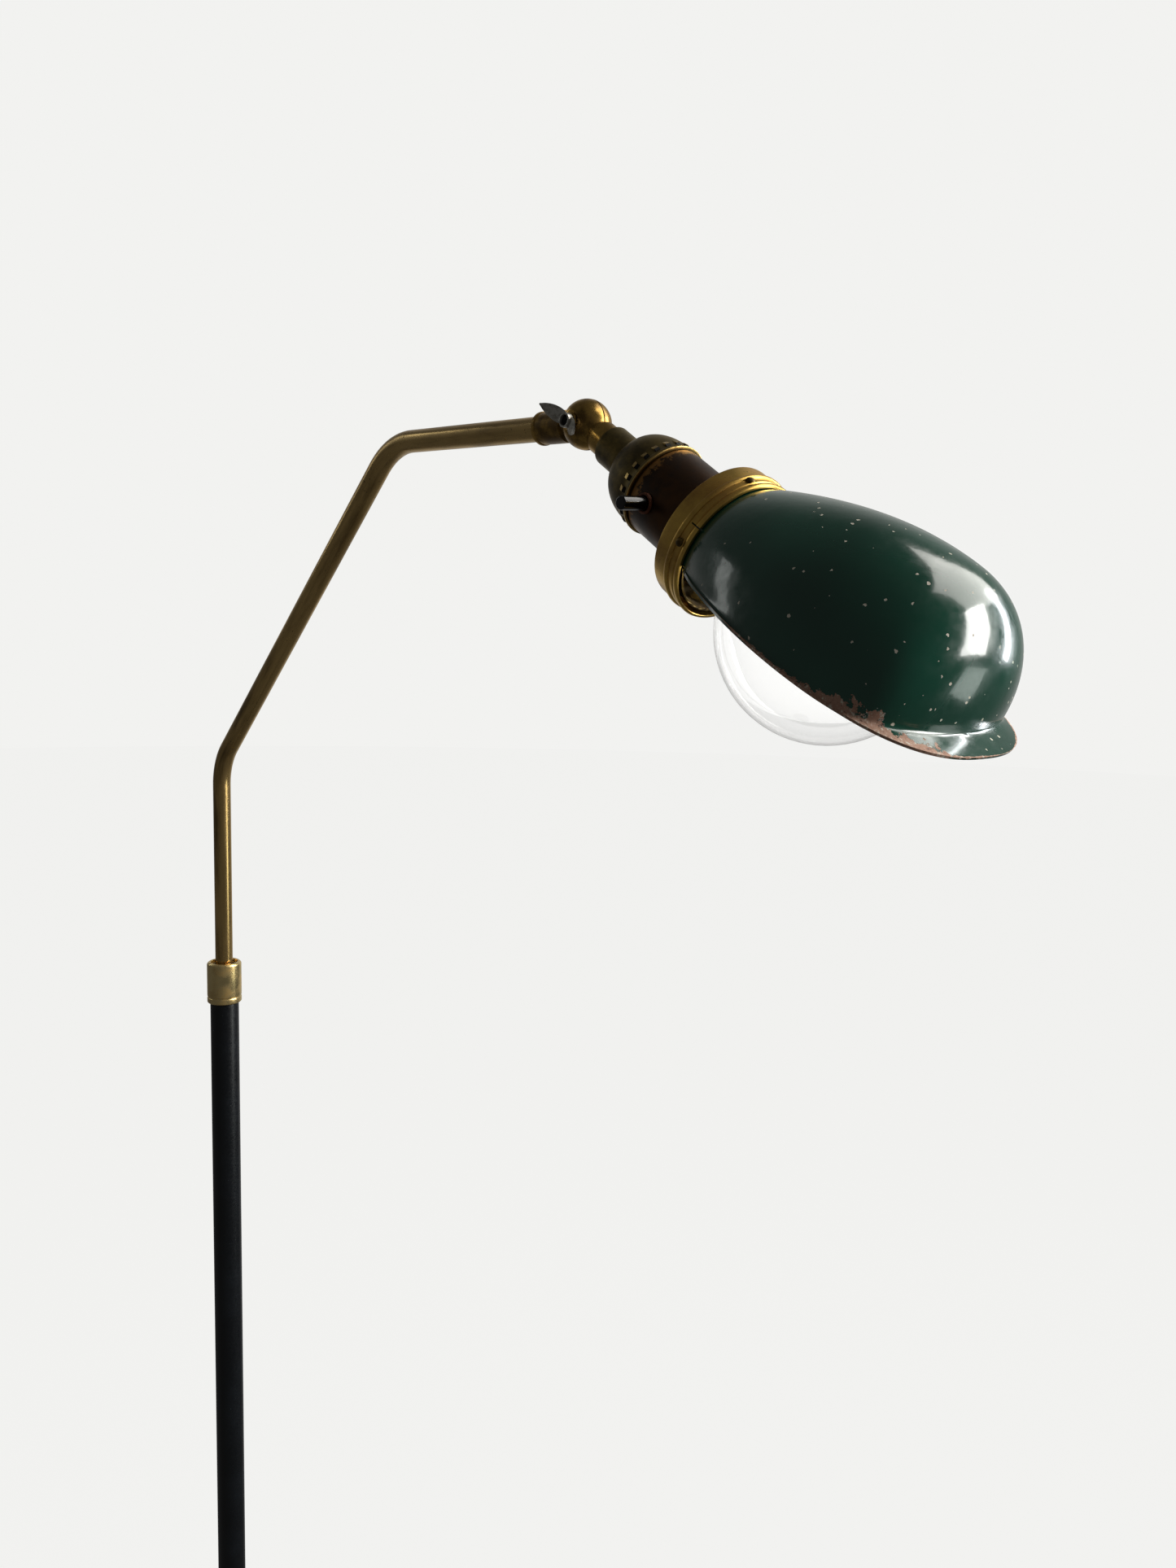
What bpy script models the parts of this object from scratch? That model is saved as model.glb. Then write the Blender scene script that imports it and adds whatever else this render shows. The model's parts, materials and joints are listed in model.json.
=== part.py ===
"""Adjustable arm floor lamp: a bent brass arm slides and turns in a pole and carries a swivelling half shade."""

import math

import bmesh
import bpy
from mathutils import Matrix, Vector

# Every size is in metres. The foot stands on z = 0 and the arm reaches along +X.
GAP = 0.0003

# Foot
FOOT_DIAMETER = 0.254
FOOT_EDGE_HEIGHT = 0.0145
FOOT_HUB_HEIGHT = 0.0280
FOOT_HUB_DIAMETER = 0.036
FOOT_CROWN_POWER = 1.7
PAD_THICKNESS = 0.0025
PAD_INSET = 0.0045
NUT_RECESS_DIAMETER = 0.038
NUT_RECESS_DEPTH = 0.0160
STUD_DIAMETER = 0.0100
LEAD_BORE = 0.0038
LEAD_BUSH_DIAMETER = 0.0064

# Pole and collar, which grow with the arm that slides in them
ARM_DIAMETER = 0.0100
POLE_BORE = ARM_DIAMETER + 0.0034
POLE_DIAMETER = POLE_BORE + 0.0026
POLE_TOP_HEIGHT = 1.0557
COLLAR_DIAMETER = ARM_DIAMETER + 0.0093
COLLAR_HEIGHT = 0.0240
COLLAR_SPIGOT = 0.0200
FRICTION_BUSH_WALL = 0.0019
COLLAR_LIP_DEPTH = 0.0028

# Arm: heights and reaches from the collar's top, to the corners of its centre line
ARM_WALL = 0.0009
ARM_FIRST_CORNER = 0.1163
ARM_SECOND_CORNER = (0.1695, 0.2762)
ARM_END = (0.2714, 0.2709)
ARM_FIRST_BEND = 0.030
ARM_SECOND_BEND = 0.035
ARM_RISE = 0.150
GUIDE_LENGTH = 0.0170

# Knuckle
BALL_DIAMETER = 0.0188
BALL_BEYOND_ARM = 0.0254
BALL_FLAT = 0.0083
SEAM_GAP = 0.0003
COUPLER_DIAMETER = ARM_DIAMETER + 0.0029
COUPLER_SOCKET_DEPTH = 0.0085
NECK_DIAMETER = 0.0126
NECK_END = 0.0160
SPIGOT_DIAMETER = 0.0094
SPIGOT_END = 0.0365
LEAD_WAY = 0.0044
WASHER_DIAMETER = 0.0094
WASHER_THICKNESS = 0.0008
SCREW_DIAMETER = 0.0032
SCREW_REACH = 0.0062
BOSS_DIAMETER = 0.0066
BOSS_END = 0.0092
HUB_DIAMETER = 0.0054
HUB_LENGTH = 0.0026
WING_SPAN = 0.0230
WING_LIFT = 0.0052
WING_ROOT_WIDTH = 0.0070
WING_TIP_WIDTH = 0.0016
WING_THICKNESS = 0.0012

# Head, measured along its axis from the ball's centre
HEAD_DROP = math.radians(34.3)
SHELL_DIAMETER = 0.0332
CAP_DIAMETER = SHELL_DIAMETER + 0.0006
CAP_SHEET = 0.0006
CAP_NECK_DIAMETER = 0.0154
CAP_NECK_START = 0.0163
CAP_DOME_START = 0.0300
CAP_BAND_START = 0.0452
CAP_RIM = 0.0493
CAP_RIM_DIAMETER = CAP_DIAMETER + 0.0012
SHELL_SHEET = 0.0005
SHELL_START = 0.0440
SHELL_STEP = 0.0496
SHELL_END = 0.0850
LINER_WALL = 0.0008
LINER_END = 0.0780
BODY_START = 0.0445
BODY_END = 0.0646
SLEEVE_END = 0.0790
SLEEVE_SHEET = 0.0004
BULB_CAP_DIAMETER = 0.0262
ROD_DIAMETER = 0.0048
ROD_STATION = 0.0580
ROD_TURN = math.radians(5.4)
ROD_OUT = 0.0284
ROD_BACK = 0.0022
ROD_BUSH_DIAMETER = 0.0072
ROD_BUSH_THICKNESS = 0.0011

# Shade ring and its seat
RING_START = 0.0775
RING_END = 0.0906
RING_DIAMETER = 0.0510
RING_SHEET = 0.0009
RING_BEAD = 0.0846
RING_BEAD_HEIGHT = 0.0007
RING_GROOVE = 0.0880
RING_SPLIT_ANGLE = math.radians(73.6)
RING_SPLIT_WIDTH = 0.0005
SEAT_DIAMETER = 0.0440
SEAT_THICKNESS = 0.0018
SEAT_WASHER_THICKNESS = 0.0006
COLLAR_SHEET = 0.0008
RIVET_STATION = 0.0867
RIVET_SHANK = 0.0018
RIVET_HEAD = 0.0030
RIVET_ANGLES = (math.radians(18.0), math.radians(90.0), math.radians(-54.0))

# Shade
SHADE_SHEET = 0.0009
SHADE_HALF_WIDTH = 0.0440
SHADE_HEIGHT = 0.0430
SHADE_WIDEST_AT = 0.1600
SHADE_NOSE = 0.1926
SHADE_FLARE_POWER = 0.9
SHADE_PLAN_POWER = 4.0
SHADE_SIDE_POWER = 2.5
SHADE_EDGE_AT_RING = -0.0064
SHADE_EDGE_AT_NOSE = 0.0025
BRIM_RISE = 0.0010
BRIM_REACH = 0.0094
BRIM_SIDE_WIDTH = 0.0014
BRIM_POWER = 2.5

# Bulb
GLOBE_RADIUS = 0.0360
GLOBE_CENTRE = 0.1360
GLASS_WALL = 0.0007
BULB_CAP_START = 0.0702
BULB_CAP_END = 0.0870
STEM_END = 0.1120
FILAMENT_SPREAD = 0.0090
FILAMENT_END = 0.1340

FINE = 36
ROUND = 24
ARM_SIDES = 18
SMALL = 14
TINY = 8


# Frames


def collar_top():
    return POLE_TOP_HEIGHT + GAP + COLLAR_HEIGHT


def arm_direction():
    rise = ARM_END[1] - ARM_SECOND_CORNER[1]
    return Vector((ARM_END[0] - ARM_SECOND_CORNER[0], 0.0, rise)).normalized()


def ball_centre():
    end = Vector((ARM_END[0], 0.0, collar_top() + ARM_END[1]))
    return end + arm_direction() * BALL_BEYOND_ARM


def frame_along(direction, origin):
    """A frame whose local Z runs along the direction and whose local Y is world -Y."""
    side = Vector((0.0, -1.0, 0.0))
    up = side.cross(direction).normalized()
    turn = Matrix((up, side, direction)).transposed()
    return Matrix.Translation(origin) @ turn.to_4x4()


def head_frame():
    axis = Vector((math.cos(HEAD_DROP), 0.0, -math.sin(HEAD_DROP)))
    return frame_along(axis, ball_centre())


def arm_end_frame():
    return frame_along(arm_direction(), ball_centre())


def add_empty(name, matrix, parent=None):
    empty = bpy.data.objects.new(name, None)
    empty.empty_display_size = 0.02
    bpy.context.scene.collection.objects.link(empty)
    empty.parent = parent
    local = parent.matrix_world.inverted() @ matrix if parent else matrix
    empty.matrix_basis = local
    bpy.context.view_layer.update()
    return empty


# Mesh builders


def revolve(profile, segments=ROUND):
    """A closed body turned about Z from a closed outline of (radius, height) points."""
    bm = bmesh.new()
    rings = []
    for radius, height in profile:
        if radius < 1e-7:
            rings.append([bm.verts.new((0.0, 0.0, height))])
            continue
        ring = []
        for step in range(segments):
            angle = 2.0 * math.pi * step / segments
            ring.append(bm.verts.new((radius * math.cos(angle), radius * math.sin(angle), height)))
        rings.append(ring)
    for index, ring in enumerate(rings):
        after = rings[(index + 1) % len(rings)]
        if len(ring) == 1 and len(after) == 1:
            continue
        for step in range(segments):
            turn = (step + 1) % segments
            corners = [ring[step % len(ring)], ring[turn % len(ring)]]
            corners += [after[turn % len(after)], after[step % len(after)]]
            unique = list(dict.fromkeys(corners))
            bm.faces.new(unique)
    bmesh.ops.recalc_face_normals(bm, faces=bm.faces[:])
    return bm


def tube_outline(inner, outer, start, end, chamfer=0.0):
    """The closed outline of a straight tube, with its outer corners cut back."""
    if chamfer <= 0.0:
        return [(inner, start), (outer, start), (outer, end), (inner, end)]
    outline = [(inner, start), (outer - chamfer, start), (outer, start + chamfer)]
    return outline + [(outer, end - chamfer), (outer - chamfer, end), (inner, end)]


def rod_outline(radius, start, end, chamfer=0.0):
    return tube_outline(0.0, radius, start, end, chamfer)


def prism(sides, across_flats, start, end, bore_radius, segments=SMALL):
    """A nut: a flat-sided bar along Z with a round bore."""
    radius = across_flats / 2.0 / math.cos(math.pi / sides)
    nut = finish_body("nut_work", revolve(rod_outline(radius, start, end), sides))
    reach = end - start
    drill = finish_body("drill_work", revolve(rod_outline(bore_radius, start - reach, end + reach), segments))
    combine(nut, drill, "DIFFERENCE")
    return take_mesh(nut)


def take_mesh(obj):
    """The mesh of a work object as a bmesh; the object is removed."""
    bm = bmesh.new()
    bm.from_mesh(obj.data)
    bpy.data.objects.remove(obj)
    return bm


def swept(path, radius, segments):
    """Rings of points round a path that lies in the XZ plane."""
    rings = []
    for index, point in enumerate(path):
        before = path[max(index - 1, 0)]
        after = path[min(index + 1, len(path) - 1)]
        along = (after - before).normalized()
        side = Vector((0.0, 1.0, 0.0))
        up = along.cross(side).normalized()
        ring = []
        for step in range(segments):
            angle = 2.0 * math.pi * step / segments
            ring.append(point + side * (radius * math.cos(angle)) + up * (radius * math.sin(angle)))
        rings.append(ring)
    return rings


def skin(bm, rings, closed_path=False):
    """Faces between rings of vertices of one length; returns the rings."""
    made = [[bm.verts.new(point) for point in ring] for ring in rings]
    last = len(made) if closed_path else len(made) - 1
    for index in range(last):
        ring = made[index]
        after = made[(index + 1) % len(made)]
        for step in range(len(ring)):
            turn = (step + 1) % len(ring)
            bm.faces.new((ring[step], ring[turn], after[turn], after[step]))
    return made


def finish_body(name, bm):
    mesh = bpy.data.meshes.new(name)
    bmesh.ops.recalc_face_normals(bm, faces=bm.faces[:])
    bm.to_mesh(mesh)
    bm.free()
    obj = bpy.data.objects.new(name, mesh)
    bpy.context.scene.collection.objects.link(obj)
    return obj


def combine(target, other, operation):
    """Applies a Boolean to the target and removes the other object."""
    modifier = target.modifiers.new("combine", "BOOLEAN")
    modifier.operation = operation
    modifier.solver = "EXACT"
    modifier.object = other
    bpy.context.view_layer.update()
    graph = bpy.context.evaluated_depsgraph_get()
    mesh = bpy.data.meshes.new_from_object(target.evaluated_get(graph))
    target.modifiers.clear()
    target.data = mesh
    tidy_mesh(mesh)
    bpy.data.objects.remove(other)
    bpy.context.view_layer.update()


def tidy_mesh(mesh):
    """Merges the coincident points that a Boolean can leave behind."""
    bm = bmesh.new()
    bm.from_mesh(mesh)
    bmesh.ops.remove_doubles(bm, verts=bm.verts[:], dist=0.000002)
    bmesh.ops.dissolve_degenerate(bm, edges=bm.edges[:], dist=0.000002)
    bm.to_mesh(mesh)
    bm.free()


def place(obj, name, material, parent, matrix=None, sharp=35.0):
    """Names a body, gives it its material and hangs it on its frame."""
    obj.name = name
    obj.data.name = name
    obj.data.materials.clear()
    obj.data.materials.append(material)
    obj.parent = parent
    if matrix is not None:
        obj.matrix_basis = matrix
    obj.data.shade_smooth()
    obj.data.set_sharp_from_angle(angle=math.radians(sharp))
    return obj


def turned(name, profile, material, parent, segments=ROUND, matrix=None):
    return place(finish_body(name, revolve(profile, segments)), name, material, parent, matrix)


def drill_across(radius, reach, height, angle=0.0, segments=SMALL, start=0.0):
    """A work cylinder that lies across Z at a height, pointing at an angle from X toward Y."""
    drill = finish_body("drill_work", revolve(rod_outline(radius, start, reach), segments))
    drill.data.transform(Matrix.Rotation(math.pi / 2.0, 4, "Y"))
    drill.data.transform(Matrix.Rotation(angle, 4, "Z"))
    drill.data.transform(Matrix.Translation((0.0, 0.0, height)))
    return drill


# Materials


def make_material(name, colour, roughness, metallic):
    material = bpy.data.materials.new(name)
    material.use_nodes = True
    shader = material.node_tree.nodes["Principled BSDF"]
    shader.inputs["Base Color"].default_value = (*colour, 1.0)
    shader.inputs["Roughness"].default_value = roughness
    shader.inputs["Metallic"].default_value = metallic
    return material


def brass(name, depth=1.0, roughness=0.35):
    return make_material(name, (0.52 * depth, 0.36 * depth, 0.14 * depth), roughness, 1.0)


def black_enamel(name):
    return make_material(name, (0.006, 0.007, 0.009), 0.35, 0.0)


def steel(name):
    return make_material(name, (0.30, 0.30, 0.29), 0.38, 1.0)


def fibre(name):
    return make_material(name, (0.22, 0.08, 0.03), 0.75, 0.0)


def black_plastic(name, roughness=0.2):
    return make_material(name, (0.010, 0.010, 0.011), roughness, 0.0)


def felt(name):
    return make_material(name, (0.020, 0.020, 0.022), 0.95, 0.0)


def green_enamel(name):
    return make_material(name, (0.012, 0.075, 0.050), 0.12, 0.0)


def clear_glass(name):
    material = make_material(name, (0.95, 0.97, 0.97), 0.02, 0.0)
    material.node_tree.nodes["Principled BSDF"].inputs["Transmission Weight"].default_value = 1.0
    return material


def porcelain(name):
    return make_material(name, (0.62, 0.60, 0.55), 0.3, 0.0)


# Foot


def foot_crown(radius):
    """Height of the foot's top at a radius."""
    hub = FOOT_HUB_DIAMETER / 2.0
    rim = FOOT_DIAMETER / 2.0 - 0.0040
    share = (radius - hub) / (rim - hub)
    return FOOT_HUB_HEIGHT - (FOOT_HUB_HEIGHT - FOOT_EDGE_HEIGHT) * share ** FOOT_CROWN_POWER


def foot_bottom():
    return PAD_THICKNESS + GAP


def recess_top():
    return foot_bottom() + NUT_RECESS_DEPTH


def lead_height():
    return foot_bottom() + (FOOT_EDGE_HEIGHT - foot_bottom()) * 0.5


def build_foot(root):
    rim = FOOT_DIAMETER / 2.0
    hub = FOOT_HUB_DIAMETER / 2.0
    bore = STUD_DIAMETER / 2.0 + GAP
    recess = NUT_RECESS_DIAMETER / 2.0
    profile = [(bore, recess_top()), (recess, recess_top()), (recess, foot_bottom())]
    profile += [(rim - 0.0015, foot_bottom()), (rim, foot_bottom() + 0.0015)]
    for step in range(5):
        angle = math.pi / 2.0 * step / 4
        drop = 0.0040 * (1.0 - math.sin(angle))
        profile.append((rim - 0.0040 * (1.0 - math.cos(angle)), FOOT_EDGE_HEIGHT - drop))
    for step in range(1, 9):
        radius = rim - 0.0040 + (hub - rim + 0.0040) * step / 8
        profile.append((radius, foot_crown(radius)))
    profile += [(bore, FOOT_HUB_HEIGHT)]
    casting = finish_body("base_casting", revolve(profile, FINE))
    passage = LEAD_BUSH_DIAMETER / 2.0 + GAP
    combine(casting, drill_across(passage, rim * 1.1, lead_height(), math.pi, TINY, recess * 0.6), "DIFFERENCE")
    place(casting, "base_casting", black_enamel("enamel_foot"), root)
    pad = rod_outline(rim - PAD_INSET, 0.0, PAD_THICKNESS)
    turned("base_pad", pad, felt("felt_pad"), root, FINE)
    build_lead_bush(root, rim)


def build_lead_bush(root, rim):
    bore = LEAD_BORE / 2.0
    body = LEAD_BUSH_DIAMETER / 2.0
    flange = body + 0.0014
    profile = [(bore, rim - 0.012), (body, rim - 0.012), (body, rim + GAP), (flange, rim + GAP)]
    profile += [(flange, rim + 0.0012), (flange - 0.0008, rim + 0.0020), (bore, rim + 0.0020)]
    lay = Matrix.Translation((0.0, 0.0, lead_height())) @ Matrix.Rotation(-math.pi / 2.0, 4, "Y")
    turned("lead_bushing", profile, black_plastic("rubber_bushing", 0.7), root, SMALL, lay)


def pole_foot():
    return FOOT_HUB_HEIGHT + GAP


def build_pole(root):
    radius = POLE_DIAMETER / 2.0
    bore = POLE_BORE / 2.0
    turned("pole_tube", tube_outline(bore, radius, pole_foot(), POLE_TOP_HEIGHT), black_enamel("enamel_pole"), root)
    inner = radius + GAP
    trim = [(inner, pole_foot()), (inner + 0.0060, pole_foot()), (inner + 0.0060, pole_foot() + 0.0030)]
    trim += [(inner + 0.0045, pole_foot() + 0.0045), (inner + 0.0025, pole_foot() + 0.0110)]
    trim += [(inner + 0.0015, pole_foot() + 0.0125), (inner, pole_foot() + 0.0125)]
    turned("pole_foot_trim", trim, brass("brass_foot_trim", 0.8), root)
    plug = bore - GAP
    stud = STUD_DIAMETER / 2.0
    low = foot_bottom() + 0.0040
    passage = 0.0030
    profile = [(passage, low), (stud, low), (stud, pole_foot()), (plug, pole_foot())]
    profile += [(plug, pole_foot() + 0.020), (passage, pole_foot() + 0.020)]
    turned("pole_stud", profile, steel("steel_stud"), root, SMALL)
    top = recess_top() - GAP
    turned("pole_washer", tube_outline(stud + GAP, 0.0115, top - 0.0016, top), steel("steel_washer"), root, SMALL)
    nut_top = top - 0.0016 - GAP
    nut = finish_body("pole_nut", prism(6, 0.017, nut_top - 0.0050, nut_top, stud + GAP))
    place(nut, "pole_nut", steel("steel_nut"), root)


# Collar


def collar_base():
    return POLE_TOP_HEIGHT + GAP


def build_collar(root):
    outer = COLLAR_DIAMETER / 2.0
    arm_way = ARM_DIAMETER / 2.0 + GAP + 0.0001
    seat = ARM_DIAMETER / 2.0 + GAP + FRICTION_BUSH_WALL + GAP
    spigot = POLE_BORE / 2.0 - GAP
    low = collar_base()
    top = collar_top()
    floor = low + 0.0040
    profile = [(arm_way, low - COLLAR_SPIGOT), (spigot, low - COLLAR_SPIGOT), (spigot, low)]
    profile += [(outer - 0.0006, low), (outer, low + 0.0006), (outer, low + 0.0030)]
    profile += [(outer - 0.0004, low + 0.0034), (outer - 0.0004, low + 0.0040), (outer, low + 0.0044)]
    profile += [(outer, top - 0.0008), (outer - 0.0008, top), (seat, top), (seat, floor), (arm_way, floor)]
    collar = finish_body("pole_collar", revolve(profile))
    screw_height = floor + 0.0070
    combine(collar, drill_across(0.0016, outer * 1.3, screw_height, math.pi, TINY, outer * 0.5), "DIFFERENCE")
    place(collar, "pole_collar", brass("brass_collar", 1.15, 0.28), root)
    bush_inner = ARM_DIAMETER / 2.0 + GAP
    bush = tube_outline(bush_inner, bush_inner + FRICTION_BUSH_WALL, floor + GAP, top - COLLAR_LIP_DEPTH)
    turned("friction_bush", bush, black_plastic("nylon_bush", 0.5), root)
    start = bush_inner + FRICTION_BUSH_WALL + GAP
    build_grub("collar_set_screw", start, outer - 0.0002, 0.0013, screw_height, math.pi, root)


def build_grub(name, start, end, radius, height, angle, parent):
    """A small headless screw with a hexagon socket, lying across Z."""
    screw = finish_body(name, revolve(rod_outline(radius, start, end, radius * 0.15), TINY))
    key = finish_body("key_work", revolve(rod_outline(radius * 0.5, end - (end - start) * 0.5, end * 1.2), 6))
    combine(screw, key, "DIFFERENCE")
    lay = Matrix.Translation((0.0, 0.0, height)) @ Matrix.Rotation(angle, 4, "Z")
    place(screw, name, steel("steel_" + name), parent, lay @ Matrix.Rotation(math.pi / 2.0, 4, "Y"))


# Arm


def bend_points(corner, before, after, radius, steps):
    """Points round a bend of the given radius that replaces a corner."""
    entry = (before - corner).normalized()
    leave = (after - corner).normalized()
    half = entry.angle(leave) / 2.0
    trim = radius / math.tan(half)
    centre = corner + (entry + leave).normalized() * (radius / math.sin(half))
    start = corner + entry * trim - centre
    stop = corner + leave * trim - centre
    sweep = start.angle(stop)
    points = []
    for step in range(steps + 1):
        share = step / steps
        mix = math.sin((1.0 - share) * sweep) * start + math.sin(share * sweep) * stop
        points.append(centre + mix / math.sin(sweep))
    return points


def guide_top():
    return collar_base() - COLLAR_SPIGOT - ARM_RISE - GAP


def arm_path():
    """Centre line of the arm, in world coordinates."""
    top = collar_top()
    foot = Vector((0.0, 0.0, guide_top() - GUIDE_LENGTH))
    first = Vector((0.0, 0.0, top + ARM_FIRST_CORNER))
    second = Vector((ARM_SECOND_CORNER[0], 0.0, top + ARM_SECOND_CORNER[1]))
    end = ball_centre() - arm_direction() * (BALL_BEYOND_ARM - COUPLER_SOCKET_DEPTH + GAP)
    path = [foot, Vector((0.0, 0.0, top + 0.02))]
    path += bend_points(first, foot, second, ARM_FIRST_BEND, 6)
    path += bend_points(second, first, end, ARM_SECOND_BEND, 6)
    return path + [end]


def build_arm(arm):
    outer = ARM_DIAMETER / 2.0
    inner = outer - ARM_WALL
    path = arm_path()
    rings = swept(path, outer, ARM_SIDES) + swept(path, inner, ARM_SIDES)[::-1]
    bm = bmesh.new()
    skin(bm, rings, closed_path=True)
    tube = finish_body("arm_tube", bm)
    tube.data.transform(arm.matrix_world.inverted())
    place(tube, "arm_tube", brass("brass_arm", 0.8, 0.4), arm)
    low = guide_top() - GUIDE_LENGTH
    guide = tube_outline(outer + GAP, POLE_BORE / 2.0 - GAP, low, guide_top(), 0.0006)
    lift = Matrix.Translation((0.0, 0.0, -arm.matrix_world.translation.z))
    turned("arm_guide_bush", guide, black_plastic("nylon_guide", 0.5), arm, ROUND, lift)


# Knuckle


def half_ball_cut(side, clearance):
    """A work half ball that removes everything of a knuckle half on the other side of the seam."""
    radius = BALL_DIAMETER / 2.0 + clearance
    profile = [(0.0, SEAM_GAP / 2.0)]
    for step in range(7):
        angle = math.pi / 2.0 * step / 6
        profile.append((radius * math.cos(angle), SEAM_GAP / 2.0 - radius * math.sin(angle)))
    cutter = finish_body("half_work", revolve(profile, ROUND))
    cutter.data.transform(seam_turn(side))
    return cutter


def seam_turn(side):
    """Turns local Z onto the pivot axis, away from the seam on the given side."""
    return Matrix.Rotation(-side * math.pi / 2.0, 4, "X")


def ball_body(flat):
    """A ball about the pivot axis whose pole is cut flat."""
    radius = BALL_DIAMETER / 2.0
    limit = math.asin(flat / radius) if flat < radius else math.pi / 2.0
    profile = []
    for step in range(13):
        angle = -math.pi / 2.0 + (limit + math.pi / 2.0) * step / 12
        profile.append((radius * math.cos(angle), radius * math.sin(angle)))
    profile[0] = (0.0, -radius)
    if flat < radius:
        profile.append((0.0, flat))
    else:
        profile[-1] = (0.0, radius)
    return finish_body("ball_work", revolve(profile, ROUND))


def knuckle_half(side, neck_profile, flat, boss, bore_depth):
    """One half of the ball with its neck along local Z; side is +1 toward local Y, -1 away from it."""
    body = ball_body(flat)
    if boss:
        post = finish_body("boss_work", revolve(rod_outline(BOSS_DIAMETER / 2.0, 0.001, BOSS_END, 0.0003), SMALL))
        combine(body, post, "UNION")
    body.data.transform(seam_turn(side))
    combine(body, finish_body("neck_work", revolve(neck_profile, ROUND)), "UNION")
    combine(body, half_ball_cut(side, 0.00035), "DIFFERENCE")
    shank = SCREW_DIAMETER / 2.0 + GAP
    recess = WASHER_DIAMETER / 2.0 + GAP
    floor = WASHER_THICKNESS / 2.0 + GAP
    profile = [(0.0, -0.002), (recess, -0.002), (recess, floor), (shank, floor), (shank, bore_depth), (0.0, bore_depth)]
    cutter = finish_body("bore_work", revolve(profile, SMALL))
    cutter.data.transform(seam_turn(side))
    combine(body, cutter, "DIFFERENCE")
    return body


def build_arm_knuckle(arm):
    frame = arm.matrix_world.inverted() @ arm_end_frame()
    radius = COUPLER_DIAMETER / 2.0
    start = -BALL_BEYOND_ARM
    bore = ARM_DIAMETER / 2.0 + GAP
    way = LEAD_WAY / 2.0
    seat = start + COUPLER_SOCKET_DEPTH
    neck = [(0.0, -0.0075), (way, -0.0075), (way, seat), (bore, seat), (bore, start)]
    neck += [(radius - 0.0004, start), (radius, start + 0.0005), (radius, start + 0.0016)]
    neck += [(radius - 0.0003, start + 0.0019), (radius - 0.0003, -0.0098), (radius - 0.0012, -0.0092)]
    neck += [(radius - 0.0012, -0.0020), (0.0, -0.0020)]
    half = knuckle_half(-1, neck, BALL_DIAMETER, False, SCREW_REACH + 0.0006)
    place(half, "knuckle_arm_half", brass("brass_arm_knuckle", 0.75), arm, frame)


def build_head_knuckle(head):
    radius = NECK_DIAMETER / 2.0
    spigot = SPIGOT_DIAMETER / 2.0
    way = LEAD_WAY / 2.0
    neck = [(0.0, 0.0065), (way, 0.0065), (way, SPIGOT_END), (spigot, SPIGOT_END), (spigot, NECK_END)]
    neck += [(radius, NECK_END), (radius, 0.0100), (radius - 0.0010, 0.0092), (radius - 0.0010, 0.0020)]
    neck += [(0.0, 0.0020)]
    half = knuckle_half(1, neck, BALL_FLAT, True, BOSS_END * 1.5)
    place(half, "knuckle_head_half", brass("brass_head_knuckle", 0.8), head)


def build_knuckle_washer(head):
    hole = SCREW_DIAMETER / 2.0 + GAP
    half = WASHER_THICKNESS / 2.0
    profile = tube_outline(hole, WASHER_DIAMETER / 2.0, -half, half)
    turned("knuckle_washer", profile, fibre("fibre_knuckle"), head, SMALL, seam_turn(1))


def wing_plate(sign):
    """One bent-up ear of the wing, widest at the hub and narrow at the tip."""
    low = BOSS_END + GAP + HUB_LENGTH * 0.35
    root = Vector((0.0, 0.0, low))
    tip = Vector((0.0, sign * WING_SPAN / 2.0, low + WING_LIFT))
    along = (tip - root).normalized()
    across = Vector((1.0, 0.0, 0.0))
    lift = across.cross(along).normalized() * (sign * WING_THICKNESS / 2.0)
    outline = []
    for share, width in ((0.0, 0.45), (0.30, 1.0), (0.62, 0.62), (0.93, 0.26), (1.0, 0.10)):
        half = max(WING_ROOT_WIDTH * width, WING_TIP_WIDTH * 0.5) / 2.0
        outline.append((root + (tip - root) * share, half))
    bm = bmesh.new()
    rings = []
    for point, half in outline:
        corners = [point + across * half + lift, point - across * half + lift]
        corners += [point - across * half - lift, point + across * half - lift]
        rings.append(corners)
    made = skin(bm, rings)
    bm.faces.new(made[0][::-1])
    bm.faces.new(made[-1])
    return finish_body("wing_work", bm)


def build_thumb_screw(thumb):
    """The screw's shank runs along local Z, out of the ball; its wings lie along local Y."""
    shank = SCREW_DIAMETER / 2.0
    hub = HUB_DIAMETER / 2.0
    low = BOSS_END + GAP
    profile = [(0.0, -SCREW_REACH), (shank - 0.0004, -SCREW_REACH), (shank, -SCREW_REACH + 0.0004), (shank, low)]
    profile += [(hub, low), (hub, low + HUB_LENGTH - 0.0004), (hub - 0.0004, low + HUB_LENGTH), (0.0, low + HUB_LENGTH)]
    screw = finish_body("thumb_screw", revolve(profile, SMALL))
    combine(screw, wing_plate(1), "UNION")
    combine(screw, wing_plate(-1), "UNION")
    place(screw, "thumb_screw", steel("steel_thumb_screw"), thumb)


# Socket


def cap_dome(inset):
    """Outline of the cap's dome from the neck to the band, pulled in by a sheet thickness."""
    neck = CAP_NECK_DIAMETER / 2.0
    band = CAP_DIAMETER / 2.0
    points = []
    for step in range(7):
        angle = math.pi / 2.0 * step / 6
        radius = neck + (band - neck) * math.sin(angle)
        height = CAP_DOME_START + (CAP_BAND_START - CAP_DOME_START) * (1.0 - math.cos(angle))
        normal = Vector((math.sin(angle), -math.cos(angle)))
        points.append((radius - inset * normal.x, height - inset * normal.y))
    return points


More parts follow.
